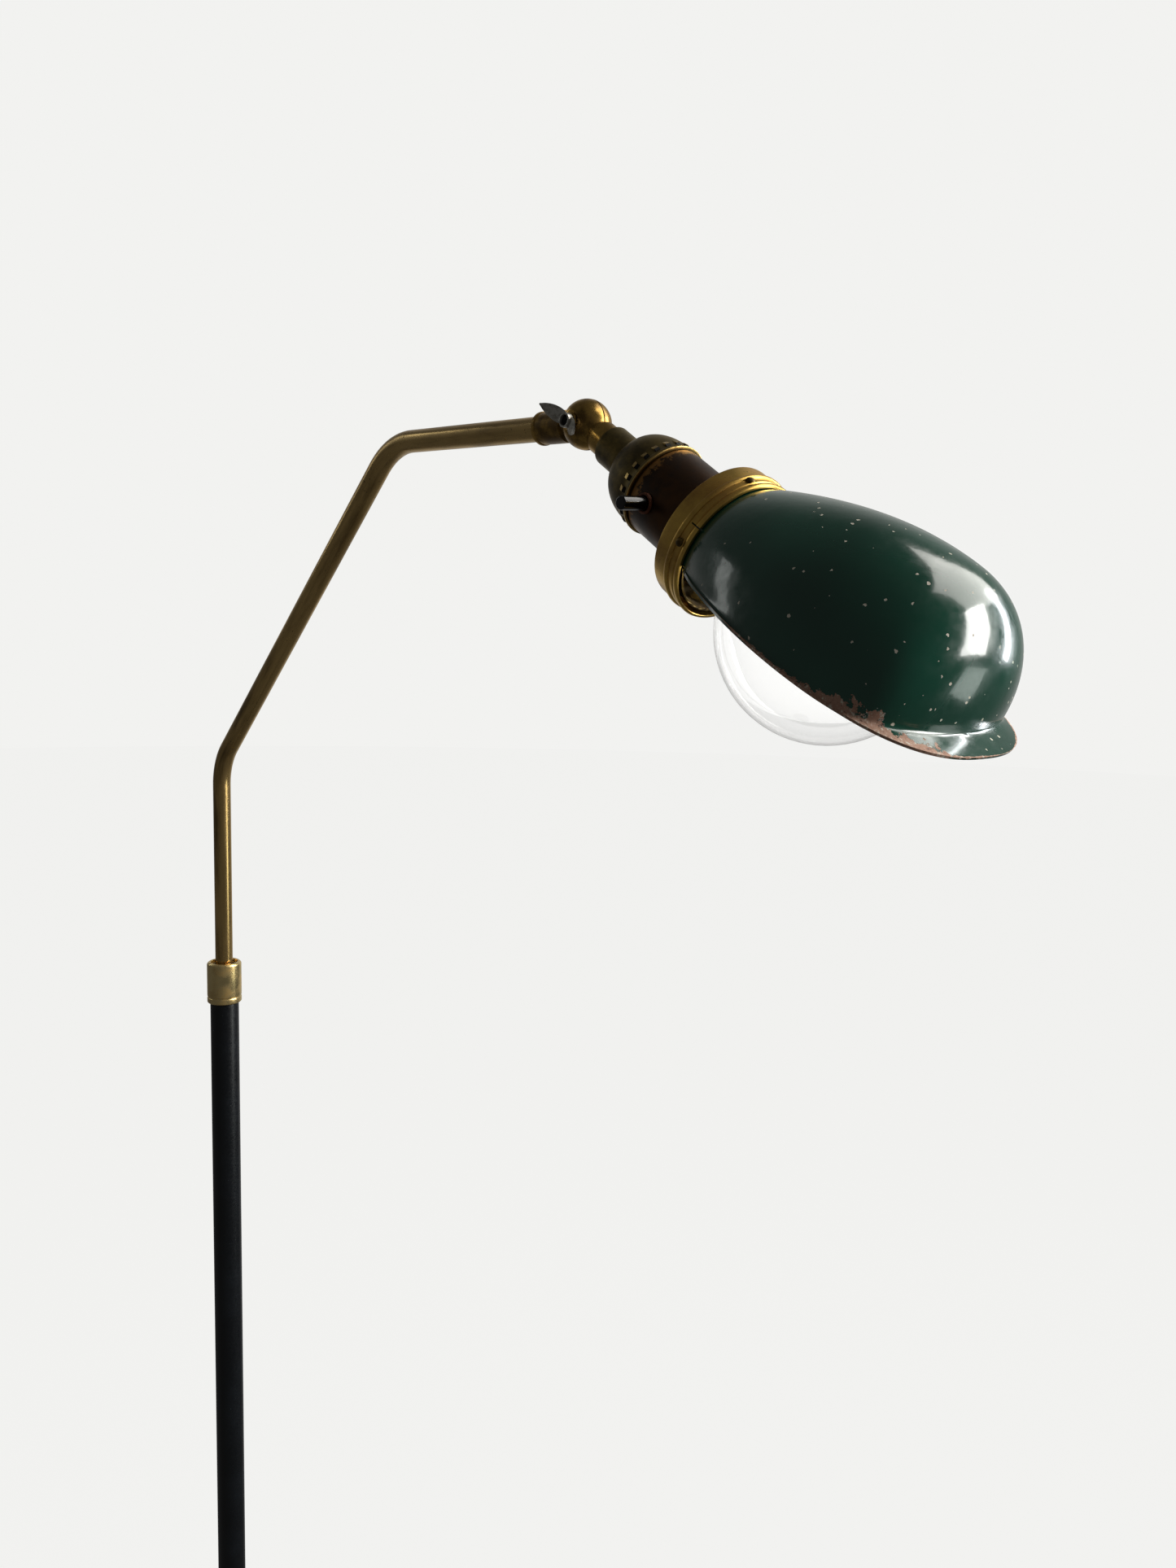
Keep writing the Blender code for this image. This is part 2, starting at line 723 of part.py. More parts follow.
def build_cap(head):
    neck = CAP_NECK_DIAMETER / 2.0
    bore = SPIGOT_DIAMETER / 2.0 + GAP
    rim = CAP_RIM_DIAMETER / 2.0
    band = CAP_DIAMETER / 2.0
    profile = [(bore, CAP_NECK_START), (neck - 0.0005, CAP_NECK_START), (neck, CAP_NECK_START + 0.0005)]
    profile += cap_dome(0.0)
    profile += [(band, CAP_RIM - 0.0020), (rim, CAP_RIM - 0.0012), (rim, CAP_RIM)]
    profile += [(band - CAP_SHEET, CAP_RIM)]
    inside = cap_dome(CAP_SHEET)[::-1]
    inside = [point for point in inside if point[0] > bore + 0.0040]
    profile += inside + [(bore, inside[-1][1])]
    cap = finish_body("socket_cap", revolve(profile, FINE))
    screw_height = (CAP_NECK_START + CAP_DOME_START) / 2.0
    combine(cap, drill_across(0.0013, neck * 1.3, screw_height, math.pi, TINY, neck * 0.4), "DIFFERENCE")
    place(cap, "socket_cap", brass("brass_cap", 0.5, 0.42), head)
    build_grub("cap_set_screw", bore, neck - 0.0002, 0.0010, screw_height, math.pi, head)
    nut_start = inside[-1][1] + GAP
    nut = finish_body("cap_lock_nut", prism(6, 0.0140, nut_start, nut_start + 0.0030, bore))
    place(nut, "cap_lock_nut", steel("steel_lock_nut"), head)


def rod_drill(radius):
    """A work cylinder along the switch rod's line."""
    return drill_across(radius, 0.03, ROD_STATION, math.pi / 2.0 + ROD_TURN, SMALL, -0.03)


def build_shell(head):
    outer = SHELL_DIAMETER / 2.0
    neck = CAP_DIAMETER / 2.0 - CAP_SHEET - GAP
    step = outer - neck
    profile = [(neck - SHELL_SHEET, SHELL_START), (neck, SHELL_START), (neck, SHELL_STEP), (outer, SHELL_STEP + step)]
    profile += [(outer, SHELL_END), (outer - SHELL_SHEET, SHELL_END), (outer - SHELL_SHEET, SHELL_STEP + step)]
    profile += [(neck - SHELL_SHEET, SHELL_STEP)]
    shell = finish_body("socket_shell", revolve(profile, FINE))
    combine(shell, rod_drill(ROD_DIAMETER / 2.0 + GAP), "DIFFERENCE")
    place(shell, "socket_shell", brass("brass_shell", 0.28, 0.45), head)
    liner_outer = outer - SHELL_SHEET - GAP
    profile = tube_outline(liner_outer - LINER_WALL, liner_outer, SHELL_STEP + step + GAP, LINER_END)
    liner = finish_body("insulating_liner", revolve(profile, ROUND))
    combine(liner, rod_drill(ROD_DIAMETER / 2.0 + GAP), "DIFFERENCE")
    place(liner, "insulating_liner", fibre("fibre_liner"), head)
    body_radius = min(liner_outer - LINER_WALL, neck - SHELL_SHEET) - GAP
    body = finish_body("socket_body", revolve(rod_outline(body_radius, BODY_START, BODY_END, 0.0006), ROUND))
    combine(body, rod_drill(ROD_DIAMETER / 2.0 + GAP), "DIFFERENCE")
    place(body, "socket_body", porcelain("porcelain_body"), head)


def sleeve_inner():
    return BULB_CAP_DIAMETER / 2.0 + GAP + 0.0001


def build_contacts(head):
    start = BODY_END + GAP
    inner = sleeve_inner()
    profile = [(0.0050, start), (inner + SLEEVE_SHEET, start), (inner + SLEEVE_SHEET, SLEEVE_END)]
    profile += [(inner, SLEEVE_END), (inner, start + SLEEVE_SHEET), (0.0050, start + SLEEVE_SHEET)]
    turned("screw_shell", profile, brass("brass_screw_shell", 0.9), head)
    contact = [(0.0, start), (0.0042, start), (0.0042, start + 0.0005), (0.0022, start + 0.0012), (0.0, start + 0.0012)]
    turned("centre_contact", contact, brass("brass_contact", 0.9), head, SMALL)
    top = BODY_START - GAP
    outline = [(0.0, top - 0.0022), (0.0018, top - 0.0022), (0.0026, top - 0.0014), (0.0026, top), (0.0, top)]
    for side, name in ((-1.0, "terminal_screw_lower"), (1.0, "terminal_screw_upper")):
        lay = Matrix.Translation((side * 0.0085, 0.0, 0.0))
        turned(name, outline, steel("steel_" + name), head, TINY, lay)


def build_switch(head, rod_frame):
    radius = ROD_DIAMETER / 2.0
    far = SHELL_DIAMETER / 2.0 + ROD_BACK
    profile = rod_outline(radius, -far, ROD_OUT, 0.0006)
    turned("switch_rod", profile, black_plastic("bakelite_rod", 0.12), rod_frame, SMALL)
    bush_radius = ROD_BUSH_DIAMETER / 2.0
    for turn, name in ((0.0, "switch_bush_front"), (math.pi, "switch_bush_back")):
        outline = tube_outline(radius + GAP, bush_radius, 0.0, SHELL_DIAMETER / 2.0 + ROD_BUSH_THICKNESS, 0.0002)
        bush = finish_body("bush_work", revolve(outline, SMALL))
        bush.data.transform(Matrix.Rotation(math.pi / 2.0, 4, "Y"))
        bush.data.transform(Matrix.Rotation(math.pi / 2.0 + ROD_TURN + turn, 4, "Z"))
        bush.data.transform(Matrix.Translation((0.0, 0.0, ROD_STATION)))
        round_shell = rod_outline(SHELL_DIAMETER / 2.0 + GAP, ROD_STATION - 0.01, ROD_STATION + 0.01)
        combine(bush, finish_body("round_work", revolve(round_shell, FINE)), "DIFFERENCE")
        place(bush, name, fibre("fibre_" + name), head)


# Shade ring


def ring_inner():
    return RING_DIAMETER / 2.0 - RING_SHEET


def shade_root():
    """Outer radius of the shade where it sits in the ring."""
    return ring_inner() - GAP


def collar_outer():
    return shade_root() - SHADE_SHEET - GAP


def seat_start():
    return RING_START + RING_SHEET + GAP + SEAT_WASHER_THICKNESS + GAP


def build_seat(head):
    inner = SHELL_DIAMETER / 2.0 + GAP
    start = seat_start()
    profile = [(inner, start), (SEAT_DIAMETER / 2.0, start), (SEAT_DIAMETER / 2.0, start + SEAT_THICKNESS)]
    profile += [(inner + 0.0009, start + SEAT_THICKNESS), (inner + 0.0009, SHELL_END), (inner, SHELL_END)]
    turned("shade_seat", profile, brass("brass_seat", 0.9), head, FINE)
    low = RING_START + RING_SHEET + GAP
    washer = tube_outline(inner, SEAT_DIAMETER / 2.0 - 0.0004, low, low + SEAT_WASHER_THICKNESS)
    turned("seat_washer", washer, fibre("fibre_seat"), head, FINE)


def build_ring(shade):
    radius = RING_DIAMETER / 2.0
    hole = SHELL_DIAMETER / 2.0 + GAP
    inner = ring_inner()
    lip = radius + 0.0003
    profile = [(hole, RING_START), (radius - 0.0010, RING_START), (radius - 0.0003, RING_START + 0.0003)]
    profile += [(radius, RING_START + 0.0010)]
    for step in range(5):
        angle = math.pi * step / 4
        height = RING_BEAD - 0.0011 * math.cos(angle)
        profile.append((radius + RING_BEAD_HEIGHT * math.sin(angle), height))
    profile += [(radius, RING_GROOVE - 0.0004), (radius - 0.0004, RING_GROOVE), (radius, RING_GROOVE + 0.0004)]
    profile += [(lip, RING_GROOVE + 0.0010), (lip, RING_END - 0.0006), (lip - 0.0006, RING_END)]
    profile += [(inner, RING_END), (inner, RING_START + RING_SHEET), (hole, RING_START + RING_SHEET)]
    ring = finish_body("shade_holder_ring", revolve(profile, FINE))
    bm = bmesh.new()
    bmesh.ops.create_cube(bm, size=1.0)
    slot = finish_body("slot_work", bm)
    length = RING_END - RING_BEAD
    slot.data.transform(Matrix.Diagonal((0.006, RING_SPLIT_WIDTH, length, 1.0)))
    slot.data.transform(Matrix.Translation((radius, 0.0, RING_END + GAP - length / 2.0 + 0.0015)))
    slot.data.transform(Matrix.Rotation(RING_SPLIT_ANGLE, 4, "Z"))
    combine(ring, slot, "DIFFERENCE")
    outer = collar_outer()
    low = seat_start() + SEAT_THICKNESS + GAP
    lip_inner = SHELL_DIAMETER / 2.0 + GAP + 0.0009 + GAP
    outline = [(lip_inner, low), (outer, low), (outer, RING_END - 0.0006), (outer - COLLAR_SHEET, RING_END - 0.0006)]
    outline += [(outer - COLLAR_SHEET, low + COLLAR_SHEET), (lip_inner, low + COLLAR_SHEET)]
    collar = finish_body("shade_collar", revolve(outline, FINE))
    for angle in RIVET_ANGLES:
        for target in (ring, collar):
            drill = drill_across(RIVET_SHANK / 2.0 + GAP, radius * 1.2, RIVET_STATION, angle, TINY, radius * 0.8)
            combine(target, drill, "DIFFERENCE")
    place(ring, "shade_holder_ring", brass("brass_ring", 1.2, 0.25), shade)
    place(collar, "shade_collar", brass("brass_shade_collar", 0.9, 0.35), shade)


def build_rivets(shade):
    """Each rivet clamps ring, shade and collar and is headed on both sides."""
    shank = RIVET_SHANK / 2.0
    head = RIVET_HEAD / 2.0
    inside = collar_outer() - COLLAR_SHEET - GAP - 0.0003
    outside = RING_DIAMETER / 2.0 + GAP + 0.0001
    outline = [(0.0, inside - 0.0006), (head * 0.8, inside - 0.0005), (head, inside - 0.0001), (head, inside)]
    outline += [(shank, inside), (shank, outside), (head, outside), (head, outside + 0.0002)]
    outline += [(head * 0.75, outside + 0.0006), (0.0, outside + 0.0008)]
    for number, angle in enumerate(RIVET_ANGLES, start=1):
        name = "shade_rivet_" + str(number)
        lay = Matrix.Translation((0.0, 0.0, RIVET_STATION)) @ Matrix.Rotation(angle, 4, "Z")
        lay = lay @ Matrix.Rotation(math.pi / 2.0, 4, "Y")
        turned(name, outline, brass("brass_" + name, 1.0, 0.3), shade, TINY, lay)


# Shade


def shade_section(station):
    """Half width and height of the spun shade's outside at a distance along the head."""
    root = shade_root()
    if station <= RING_END:
        return root, root
    if station <= SHADE_WIDEST_AT:
        share = (station - RING_END) / (SHADE_WIDEST_AT - RING_END)
        swell = math.sin(math.pi / 2.0 * share) ** SHADE_FLARE_POWER
        return root + (SHADE_HALF_WIDTH - root) * swell, root + (SHADE_HEIGHT - root) * swell
    share = min((station - SHADE_WIDEST_AT) / (SHADE_NOSE - SHADE_WIDEST_AT), 1.0)
    half_width = SHADE_HALF_WIDTH * math.sqrt(1.0 - share ** SHADE_PLAN_POWER)
    return half_width, SHADE_HEIGHT * math.sqrt(1.0 - share ** SHADE_SIDE_POWER)


def nose_share(station):
    """0 at the ring's mouth, 1 at the shade's nose."""
    return max(0.0, min((station - RING_END) / (SHADE_NOSE - RING_END), 1.0))


def edge_height(station):
    """Height of the shade's open edge over the head's axis."""
    return SHADE_EDGE_AT_RING + (SHADE_EDGE_AT_NOSE - SHADE_EDGE_AT_RING) * nose_share(station)


def crease_height(station):
    """Height of the crease between the dome and its brim."""
    share = max(0.0, (nose_share(station) - 0.6) / 0.4)
    return edge_height(station) + BRIM_RISE * share * share * (3.0 - 2.0 * share)


def nose_tip():
    """The station where the dome has shrunk onto its crease."""
    low = SHADE_WIDEST_AT
    high = SHADE_NOSE
    for _ in range(40):
        middle = (low + high) / 2.0
        if shade_section(middle)[1] > crease_height(middle):
            low = middle
        else:
            high = middle
    return low


def shade_stations():
    start = RING_START + RING_SHEET + 0.0056
    tip = nose_tip()
    stations = [start, RING_END]
    for step in range(1, 7):
        stations.append(RING_END + (SHADE_WIDEST_AT - RING_END) * (step / 6) ** 1.15)
    for step in range(1, 9):
        angle = math.pi / 2.0 * step / 9
        stations.append(SHADE_WIDEST_AT + (tip - SHADE_WIDEST_AT) * math.sin(angle) ** 0.75)
    return stations, tip


def dome_row(station, columns):
    """Points across the dome at a station, from one open edge over the top to the other."""
    half_width, height = shade_section(station)
    start = math.asin(max(-1.0, min(crease_height(station) / height, 1.0)))
    row = []
    for step in range(columns + 1):
        angle = start + (math.pi - 2.0 * start) * step / columns
        row.append(Vector((height * math.sin(angle), half_width * math.cos(angle), station)))
    return row


def brim_width(point, outward):
    """How far the brim reaches from a point of the crease, along its outward direction in plan."""
    mouth = min(1.0, max(0.0, (point.z - RING_END) / 0.012))
    if point.z <= SHADE_WIDEST_AT:
        return mouth * BRIM_SIDE_WIDTH
    reach = SHADE_NOSE + BRIM_REACH - SHADE_WIDEST_AT
    spread = SHADE_HALF_WIDTH + BRIM_SIDE_WIDTH
    low = 0.0
    high = reach
    for _ in range(30):
        middle = (low + high) / 2.0
        along = (point.z - SHADE_WIDEST_AT + outward.z * middle) / reach
        across = abs(point.y + outward.y * middle) / spread
        if max(along, 0.0) ** BRIM_POWER + across ** BRIM_POWER < 1.0:
            low = middle
        else:
            high = middle
    return low


def brim_rows(edge, steps):
    """Rows of points that carry the crease outward and down to the open edge."""
    rows = [[] for _ in range(steps)]
    for index, point in enumerate(edge):
        before = edge[max(index - 1, 0)]
        after = edge[min(index + 1, len(edge) - 1)]
        run = Vector((0.0, after.y - before.y, after.z - before.z)).normalized()
        outward = Vector((0.0, run.z, -run.y))
        width = brim_width(point, outward)
        drop = point.x - edge_height(point.z)
        for step in range(1, steps + 1):
            share = step / steps
            down = Vector((-drop * share ** 0.6, 0.0, 0.0))
            rows[step - 1].append(point + outward * (width * share) + down)
    return rows


def shade_sheet(columns=20, brim_steps=2):
    """The shade's outer skin as an open sheet: the dome's rows, its nose, then the brim round its edge."""
    stations, tip = shade_stations()
    rows = [dome_row(station, columns) for station in stations]
    bm = bmesh.new()
    made = [[bm.verts.new(point) for point in row] for row in rows]
    nose = bm.verts.new((crease_height(tip), 0.0, tip))
    for index in range(len(made) - 1):
        for step in range(columns):
            bm.faces.new((made[index][step], made[index][step + 1], made[index + 1][step + 1], made[index + 1][step]))
    for step in range(columns):
        bm.faces.new((made[-1][step], made[-1][step + 1], nose))
    edge_verts = [row[0] for row in made] + [nose] + [row[-1] for row in made[::-1]]
    edge = [vert.co.copy() for vert in edge_verts]
    before = edge_verts
    for row in brim_rows(edge, brim_steps):
        after = [bm.verts.new(point) for point in row]
        for index in range(len(after) - 1):
            bm.faces.new((before[index], before[index + 1], after[index + 1], after[index]))
        before = after
    bmesh.ops.remove_doubles(bm, verts=bm.verts[:], dist=0.00001)
    bmesh.ops.recalc_face_normals(bm, faces=bm.faces[:])
    return bm


def face_outward(bm):
    """Turns an open sheet's faces so that they look away from the head's axis."""
    total = 0.0
    for face in bm.faces:
        centre = face.calc_center_median()
        total += face.normal.dot(Vector((centre.x, centre.y, 0.0)).normalized()) * face.calc_area()
    if total < 0.0:
        bmesh.ops.reverse_faces(bm, faces=bm.faces[:])
    bm.normal_update()


def thicken(bm, thickness):
    """Closes an open sheet into a solid by a second skin set in along the point normals."""
    outer = bm.verts[:]
    faces = bm.faces[:]
    rim = [edge for edge in bm.edges if len(edge.link_faces) == 1]
    inner = {vert: bm.verts.new(vert.co - vert.normal * thickness) for vert in outer}
    for face in faces:
        bm.faces.new([inner[vert] for vert in reversed(face.verts)])
    for edge in rim:
        first, second = edge.verts
        bm.faces.new((first, second, inner[second], inner[first]))


def build_shade(shade):
    bm = shade_sheet()
    face_outward(bm)
    thicken(bm, SHADE_SHEET)
    obj = finish_body("shade_shell", bm)
    for angle in RIVET_ANGLES:
        drill = drill_across(RIVET_SHANK / 2.0 + GAP, 0.03, RIVET_STATION, angle, TINY, 0.02)
        combine(obj, drill, "DIFFERENCE")
    place(obj, "shade_shell", green_enamel("enamel_shade"), shade, None, 50.0)


# Bulb


def globe_outline(inset):
    """Outline of the glass from its neck to its top, pulled in by a wall thickness."""
    neck_radius = BULB_CAP_DIAMETER / 2.0 - 0.0009
    neck_at = BULB_CAP_END + 0.0005
    join_at = GLOBE_CENTRE - GLOBE_RADIUS * 0.667
    join_radius = math.sqrt(GLOBE_RADIUS ** 2 - (GLOBE_CENTRE - join_at) ** 2)
    join_slope = (GLOBE_CENTRE - join_at) / join_radius
    span = join_at - neck_at
    points = [(neck_radius - inset, BULB_CAP_END - 0.0028)]
    for step in range(7):
        share = step / 6
        rise = 3.0 * share ** 2 - 2.0 * share ** 3
        start = share * (1.0 - share) ** 2 * span * 0.12
        finish = (share ** 3 - share ** 2) * span * join_slope
        radius = neck_radius + (join_radius - neck_radius) * rise + start + finish
        points.append((radius - inset, neck_at + span * share))
    first = math.atan2(join_radius, join_at - GLOBE_CENTRE)
    for step in range(1, 12):
        angle = first * (1.0 - step / 11)
        ball = GLOBE_RADIUS - inset
        points.append((ball * math.sin(angle), GLOBE_CENTRE + ball * math.cos(angle)))
    points[-1] = (0.0, GLOBE_CENTRE + GLOBE_RADIUS - inset)
    return points


def build_bulb(head):
    outline = globe_outline(0.0) + globe_outline(GLASS_WALL)[::-1]
    turned("bulb_glass", outline, clear_glass("glass_bulb"), head, ROUND)
    outer = BULB_CAP_DIAMETER / 2.0 - 0.0002
    profile = [(outer - 0.0004, BULB_CAP_START)]
    for step in range(7):
        height = BULB_CAP_START + 0.0015 + 0.0018 * step
        profile.append((outer + (0.0002 if step % 2 else -0.0002), height))
    profile += [(outer, BULB_CAP_END - 0.0020), (outer, BULB_CAP_END), (outer - 0.0004, BULB_CAP_END)]
    inner = outer - 0.0006
    profile += [(inner + 0.0002, BULB_CAP_END), (inner, BULB_CAP_END - 0.0025), (inner, BULB_CAP_START)]
    turned("bulb_cap", profile, brass("brass_bulb_cap", 1.0, 0.3), head)
    low = BODY_END + GAP + 0.0012 + GAP
    contact = [(0.0, low), (0.0035, low), (0.0040, low + 0.0006), (0.0040, low + 0.0012), (0.0, low + 0.0012)]
    turned("bulb_contact", contact, steel("solder_contact"), head, SMALL)
    foot = low + 0.0012 + GAP
    top = BULB_CAP_START + 0.0020
    insulator = [(0.0, foot), (0.0050, foot), (inner - GAP, BULB_CAP_START), (inner - GAP, top), (0.0, top)]
    turned("bulb_insulator", insulator, black_plastic("black_glass_insulator", 0.15), head, ROUND)
    base = BULB_CAP_END - 0.0010
    stem = [(0.0, base), (0.0095, base), (0.0095, base + 0.0010), (0.0050, base + 0.0060)]
    stem += [(0.0032, base + 0.0120), (0.0030, STEM_END - 0.0030), (0.0036, STEM_END - 0.0010)]
    stem += [(0.0028, STEM_END), (0.0, STEM_END)]
    turned("bulb_stem", stem, clear_glass("glass_stem"), head, SMALL)
    build_filament(head)


def build_filament(head):
    """A wire that rises from the stem, spreads and carries the filament across."""
    start = STEM_END + GAP
    path = [Vector((-0.0015, 0.0, start)), Vector((-0.0030, 0.0, start + 0.0050))]
    path.append(Vector((-FILAMENT_SPREAD, 0.0, FILAMENT_END - 0.0010)))
    for step in range(9):
        share = step / 8
        arch = math.sin(math.pi * share) * 0.0035
        path.append(Vector((FILAMENT_SPREAD * (2.0 * share - 1.0), 0.0, FILAMENT_END + arch)))
    path.append(Vector((FILAMENT_SPREAD, 0.0, FILAMENT_END - 0.0010)))
    path += [Vector((0.0030, 0.0, start + 0.0050)), Vector((0.0015, 0.0, start))]
    bm = bmesh.new()
    made = skin(bm, swept(path, 0.0004, 8))
    bm.faces.new(made[0][::-1])
    bm.faces.new(made[-1])
    wire = finish_body("bulb_filament", bm)
    place(wire, "bulb_filament", steel("tungsten_filament"), head)


def clear_scene():
    for obj in list(bpy.data.objects):
        bpy.data.objects.remove(obj)


def main():
    clear_scene()
    root = add_empty("stand_frame", Matrix.Identity(4))
    arm = add_empty("arm_frame", Matrix.Translation((0.0, 0.0, collar_top())), root)
    head = add_empty("head_frame", head_frame(), arm)
    thumb = add_empty("thumb_frame", head_frame() @ seam_turn(1), arm)
    rod_turn = Matrix.Rotation(math.pi / 2.0 + ROD_TURN, 4, "Z") @ Matrix.Rotation(math.pi / 2.0, 4, "Y")
    rod = add_empty("rod_frame", head_frame() @ Matrix.Translation((0.0, 0.0, ROD_STATION)) @ rod_turn, head)
    shade = add_empty("shade_frame", head_frame(), head)
    build_foot(root)
    build_pole(root)
    build_collar(root)
    build_arm(arm)
    build_arm_knuckle(arm)
    build_head_knuckle(head)
    build_knuckle_washer(head)
    build_thumb_screw(thumb)
    build_cap(head)
    build_shell(head)
    build_contacts(head)
    build_switch(head, rod)
    build_seat(head)
    build_ring(shade)
    build_rivets(shade)
    build_shade(shade)
    build_bulb(head)
    bpy.context.view_layer.update()


main()
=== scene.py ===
"""Adjustable arm floor lamp: every visible piece and its finish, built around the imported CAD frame."""

import json
import logging
import math
from dataclasses import dataclass
from enum import Enum
from typing import Any, Sequence

import bmesh
import bpy
import numpy as np
from mathutils import Matrix, Vector


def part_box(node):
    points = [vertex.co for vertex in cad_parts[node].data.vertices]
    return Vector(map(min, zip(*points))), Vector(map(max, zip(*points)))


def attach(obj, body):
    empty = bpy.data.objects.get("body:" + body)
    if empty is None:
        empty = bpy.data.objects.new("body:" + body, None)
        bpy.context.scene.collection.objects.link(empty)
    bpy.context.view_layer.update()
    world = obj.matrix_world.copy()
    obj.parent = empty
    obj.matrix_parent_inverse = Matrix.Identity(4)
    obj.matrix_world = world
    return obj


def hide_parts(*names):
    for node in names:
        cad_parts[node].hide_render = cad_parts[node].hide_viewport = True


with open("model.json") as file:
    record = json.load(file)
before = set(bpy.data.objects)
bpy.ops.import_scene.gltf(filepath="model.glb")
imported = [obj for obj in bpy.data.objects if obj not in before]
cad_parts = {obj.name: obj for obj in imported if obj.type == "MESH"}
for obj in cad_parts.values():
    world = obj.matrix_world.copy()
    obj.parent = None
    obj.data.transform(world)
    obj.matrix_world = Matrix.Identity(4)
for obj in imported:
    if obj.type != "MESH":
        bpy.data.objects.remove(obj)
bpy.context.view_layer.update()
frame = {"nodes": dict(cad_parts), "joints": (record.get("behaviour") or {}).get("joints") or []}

LOG = logging.getLogger("lamp")
Outline = list[tuple[float, float]]
Colour = tuple[float, float, float, float]
Tree = bpy.types.NodeTree
Feed = bpy.types.NodeSocket
Shader = bpy.types.ShaderNode
Piece = bpy.types.Object

# The clearance between pieces, in metres, as in the CAD model.
GAP = 0.0003

# How many faces go round a turned piece, by how large it shows.
RIM_FACES = 144
FINE = 112
GLOBE_FACES = 96
ROUND = 72
SMALL = 40
RIVET_FACES = 24

# Points closer than this are one, and corners that turn less than this are left as they are.
MERGE_WITHIN = 1e-7
SHARP_CORNER = math.radians(14.0)

EVEN = (1.0, 1.0, 1.0)
QUARTER = math.pi / 2.0

# The attributes that patterns read: a piece's own frame, and the place along, across and from the shade's edge.
OWN_PLACE = "own_place"
SHADE_PLACE = "shade_place"


# Frames


def joint(name: str) -> dict[str, Any]:
    """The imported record's joint of that name."""
    return next(entry for entry in frame["joints"] if entry["name"] == name)


def frame_along(direction: Vector, origin: Vector) -> Matrix:
    """A frame whose local Z runs along a direction and whose local Y is world -Y.

    Args:
        direction: where local Z points.
        origin: the frame's origin, in the row frame.

    Returns:
        The frame's matrix.
    """
    side = Vector((0.0, -1.0, 0.0))
    up = side.cross(direction).normalized()
    return Matrix.Translation(origin) @ Matrix((up, side, direction)).transposed().to_4x4()


BALL_CENTRE = Vector(joint("head_tilt")["pos_m"])
HEAD_AXIS = Vector(joint("shade_swivel")["axis"]).normalized()
HEAD = frame_along(HEAD_AXIS, BALL_CENTRE)
COLLAR_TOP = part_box("pole_collar")[1].z


# Node and mesh helpers


def linear(hex_code: str) -> Colour:
    """Turns an sRGB hex colour to linear red, green, blue and alpha.

    Args:
        hex_code: six digits, red first.

    Returns:
        The four channels, from 0 to 1.
    """
    parts = [int(hex_code[index:index + 2], 16) / 255.0 for index in (0, 2, 4)]
    flat = [part / 12.92 if part <= 0.04045 else ((part + 0.055) / 1.055) ** 2.4 for part in parts]
    return (flat[0], flat[1], flat[2], 1.0)


def per_mm(size_mm: float) -> float:
    """The texture scale at which one cell of a pattern is that many millimetres."""
    return 1000.0 / size_mm


def add_node(tree: Tree, kind: str, links: dict[Any, Any] | None = None, **settings: Any) -> Any:
    """Adds one node with its settings and links.

    Args:
        tree: the node tree it goes into.
        kind: the node's type name.
        links: for each input, by name or number, a value or the output socket that feeds it.
        settings: the node's own properties; `stops` holds a colour ramp's positions and colours.

    Returns:
        The new node.
    """
    node = tree.nodes.new(kind)
    for key, value in settings.items():
        if key != "stops":
            setattr(node, key, value)
            continue
        for index, (position, colour) in enumerate(value):
            element = node.color_ramp.elements[index] if index < 2 else node.color_ramp.elements.new(position)
            element.position = position
            element.color = colour
    for key, value in (links or {}).items():
        if isinstance(value, Feed):
            tree.links.new(value, node.inputs[key])
        else:
            node.inputs[key].default_value = value
    return node


def feed(tree: Tree, shader: Shader, sockets: dict[str, Feed]) -> None:
    """Links each named input of the shader to the socket that drives it.

    Args:
        tree: the material's tree.
        shader: the node that the surface goes into.
        sockets: for each input's name, the socket.
    """
    for name, socket in sockets.items():
        tree.links.new(socket, shader.inputs[name])


def new_object(name: str, mesh: bpy.types.Mesh) -> Piece:
    """Puts a mesh into the scene as an object at the origin.

    Args:
        name: the object's name.
        mesh: its mesh.

    Returns:
        The object.
    """
    obj = bpy.data.objects.new(name, mesh)
    bpy.context.scene.collection.objects.link(obj)
    return obj


def from_bmesh(name: str, bm: bmesh.types.BMesh) -> Piece:
    """Makes an object of a bmesh whose doubles are merged and whose faces point outwards.

    Args:
        name: the object's name.
        bm: the mesh in the making, which is freed.

    Returns:
        The object.
    """
    bmesh.ops.remove_doubles(bm, verts=bm.verts[:], dist=MERGE_WITHIN)
    bmesh.ops.recalc_face_normals(bm, faces=bm.faces[:])
    mesh = bpy.data.meshes.new(name)
    bm.to_mesh(mesh)
    bm.free()
    return new_object(name, mesh)


def soften(outline: Outline, radius: float, steps: int = 3) -> Outline:
    """Rounds the corners of a closed outline.

    Args:
        outline: points of (radius, height).
        radius: how far each side of a corner the rounding starts, at most 0.4 of the shorter side.
        steps: how many pieces each rounding has.

    Returns:
        The rounded outline.
    """
    points = [Vector(point) for point in outline]
    made: Outline = []
    for index, point in enumerate(points):
        before = points[index - 1] - point
        after = points[(index + 1) % len(points)] - point
        if point.x < 1e-6 or before.length < 1e-7 or after.length < 1e-7:
            made.append(tuple(point))
            continue
        if math.pi - before.angle(after) < SHARP_CORNER:
            made.append(tuple(point))
            continue
        cut = min(radius, 0.4 * before.length, 0.4 * after.length)
        start = point + before.normalized() * cut
        stop = point + after.normalized() * cut
        for step in range(steps + 1):
            share = step / steps
            mixed = start * (1 - share) ** 2 + point * 2 * share * (1 - share) + stop * share ** 2
            made.append((mixed.x, mixed.y))
    return made


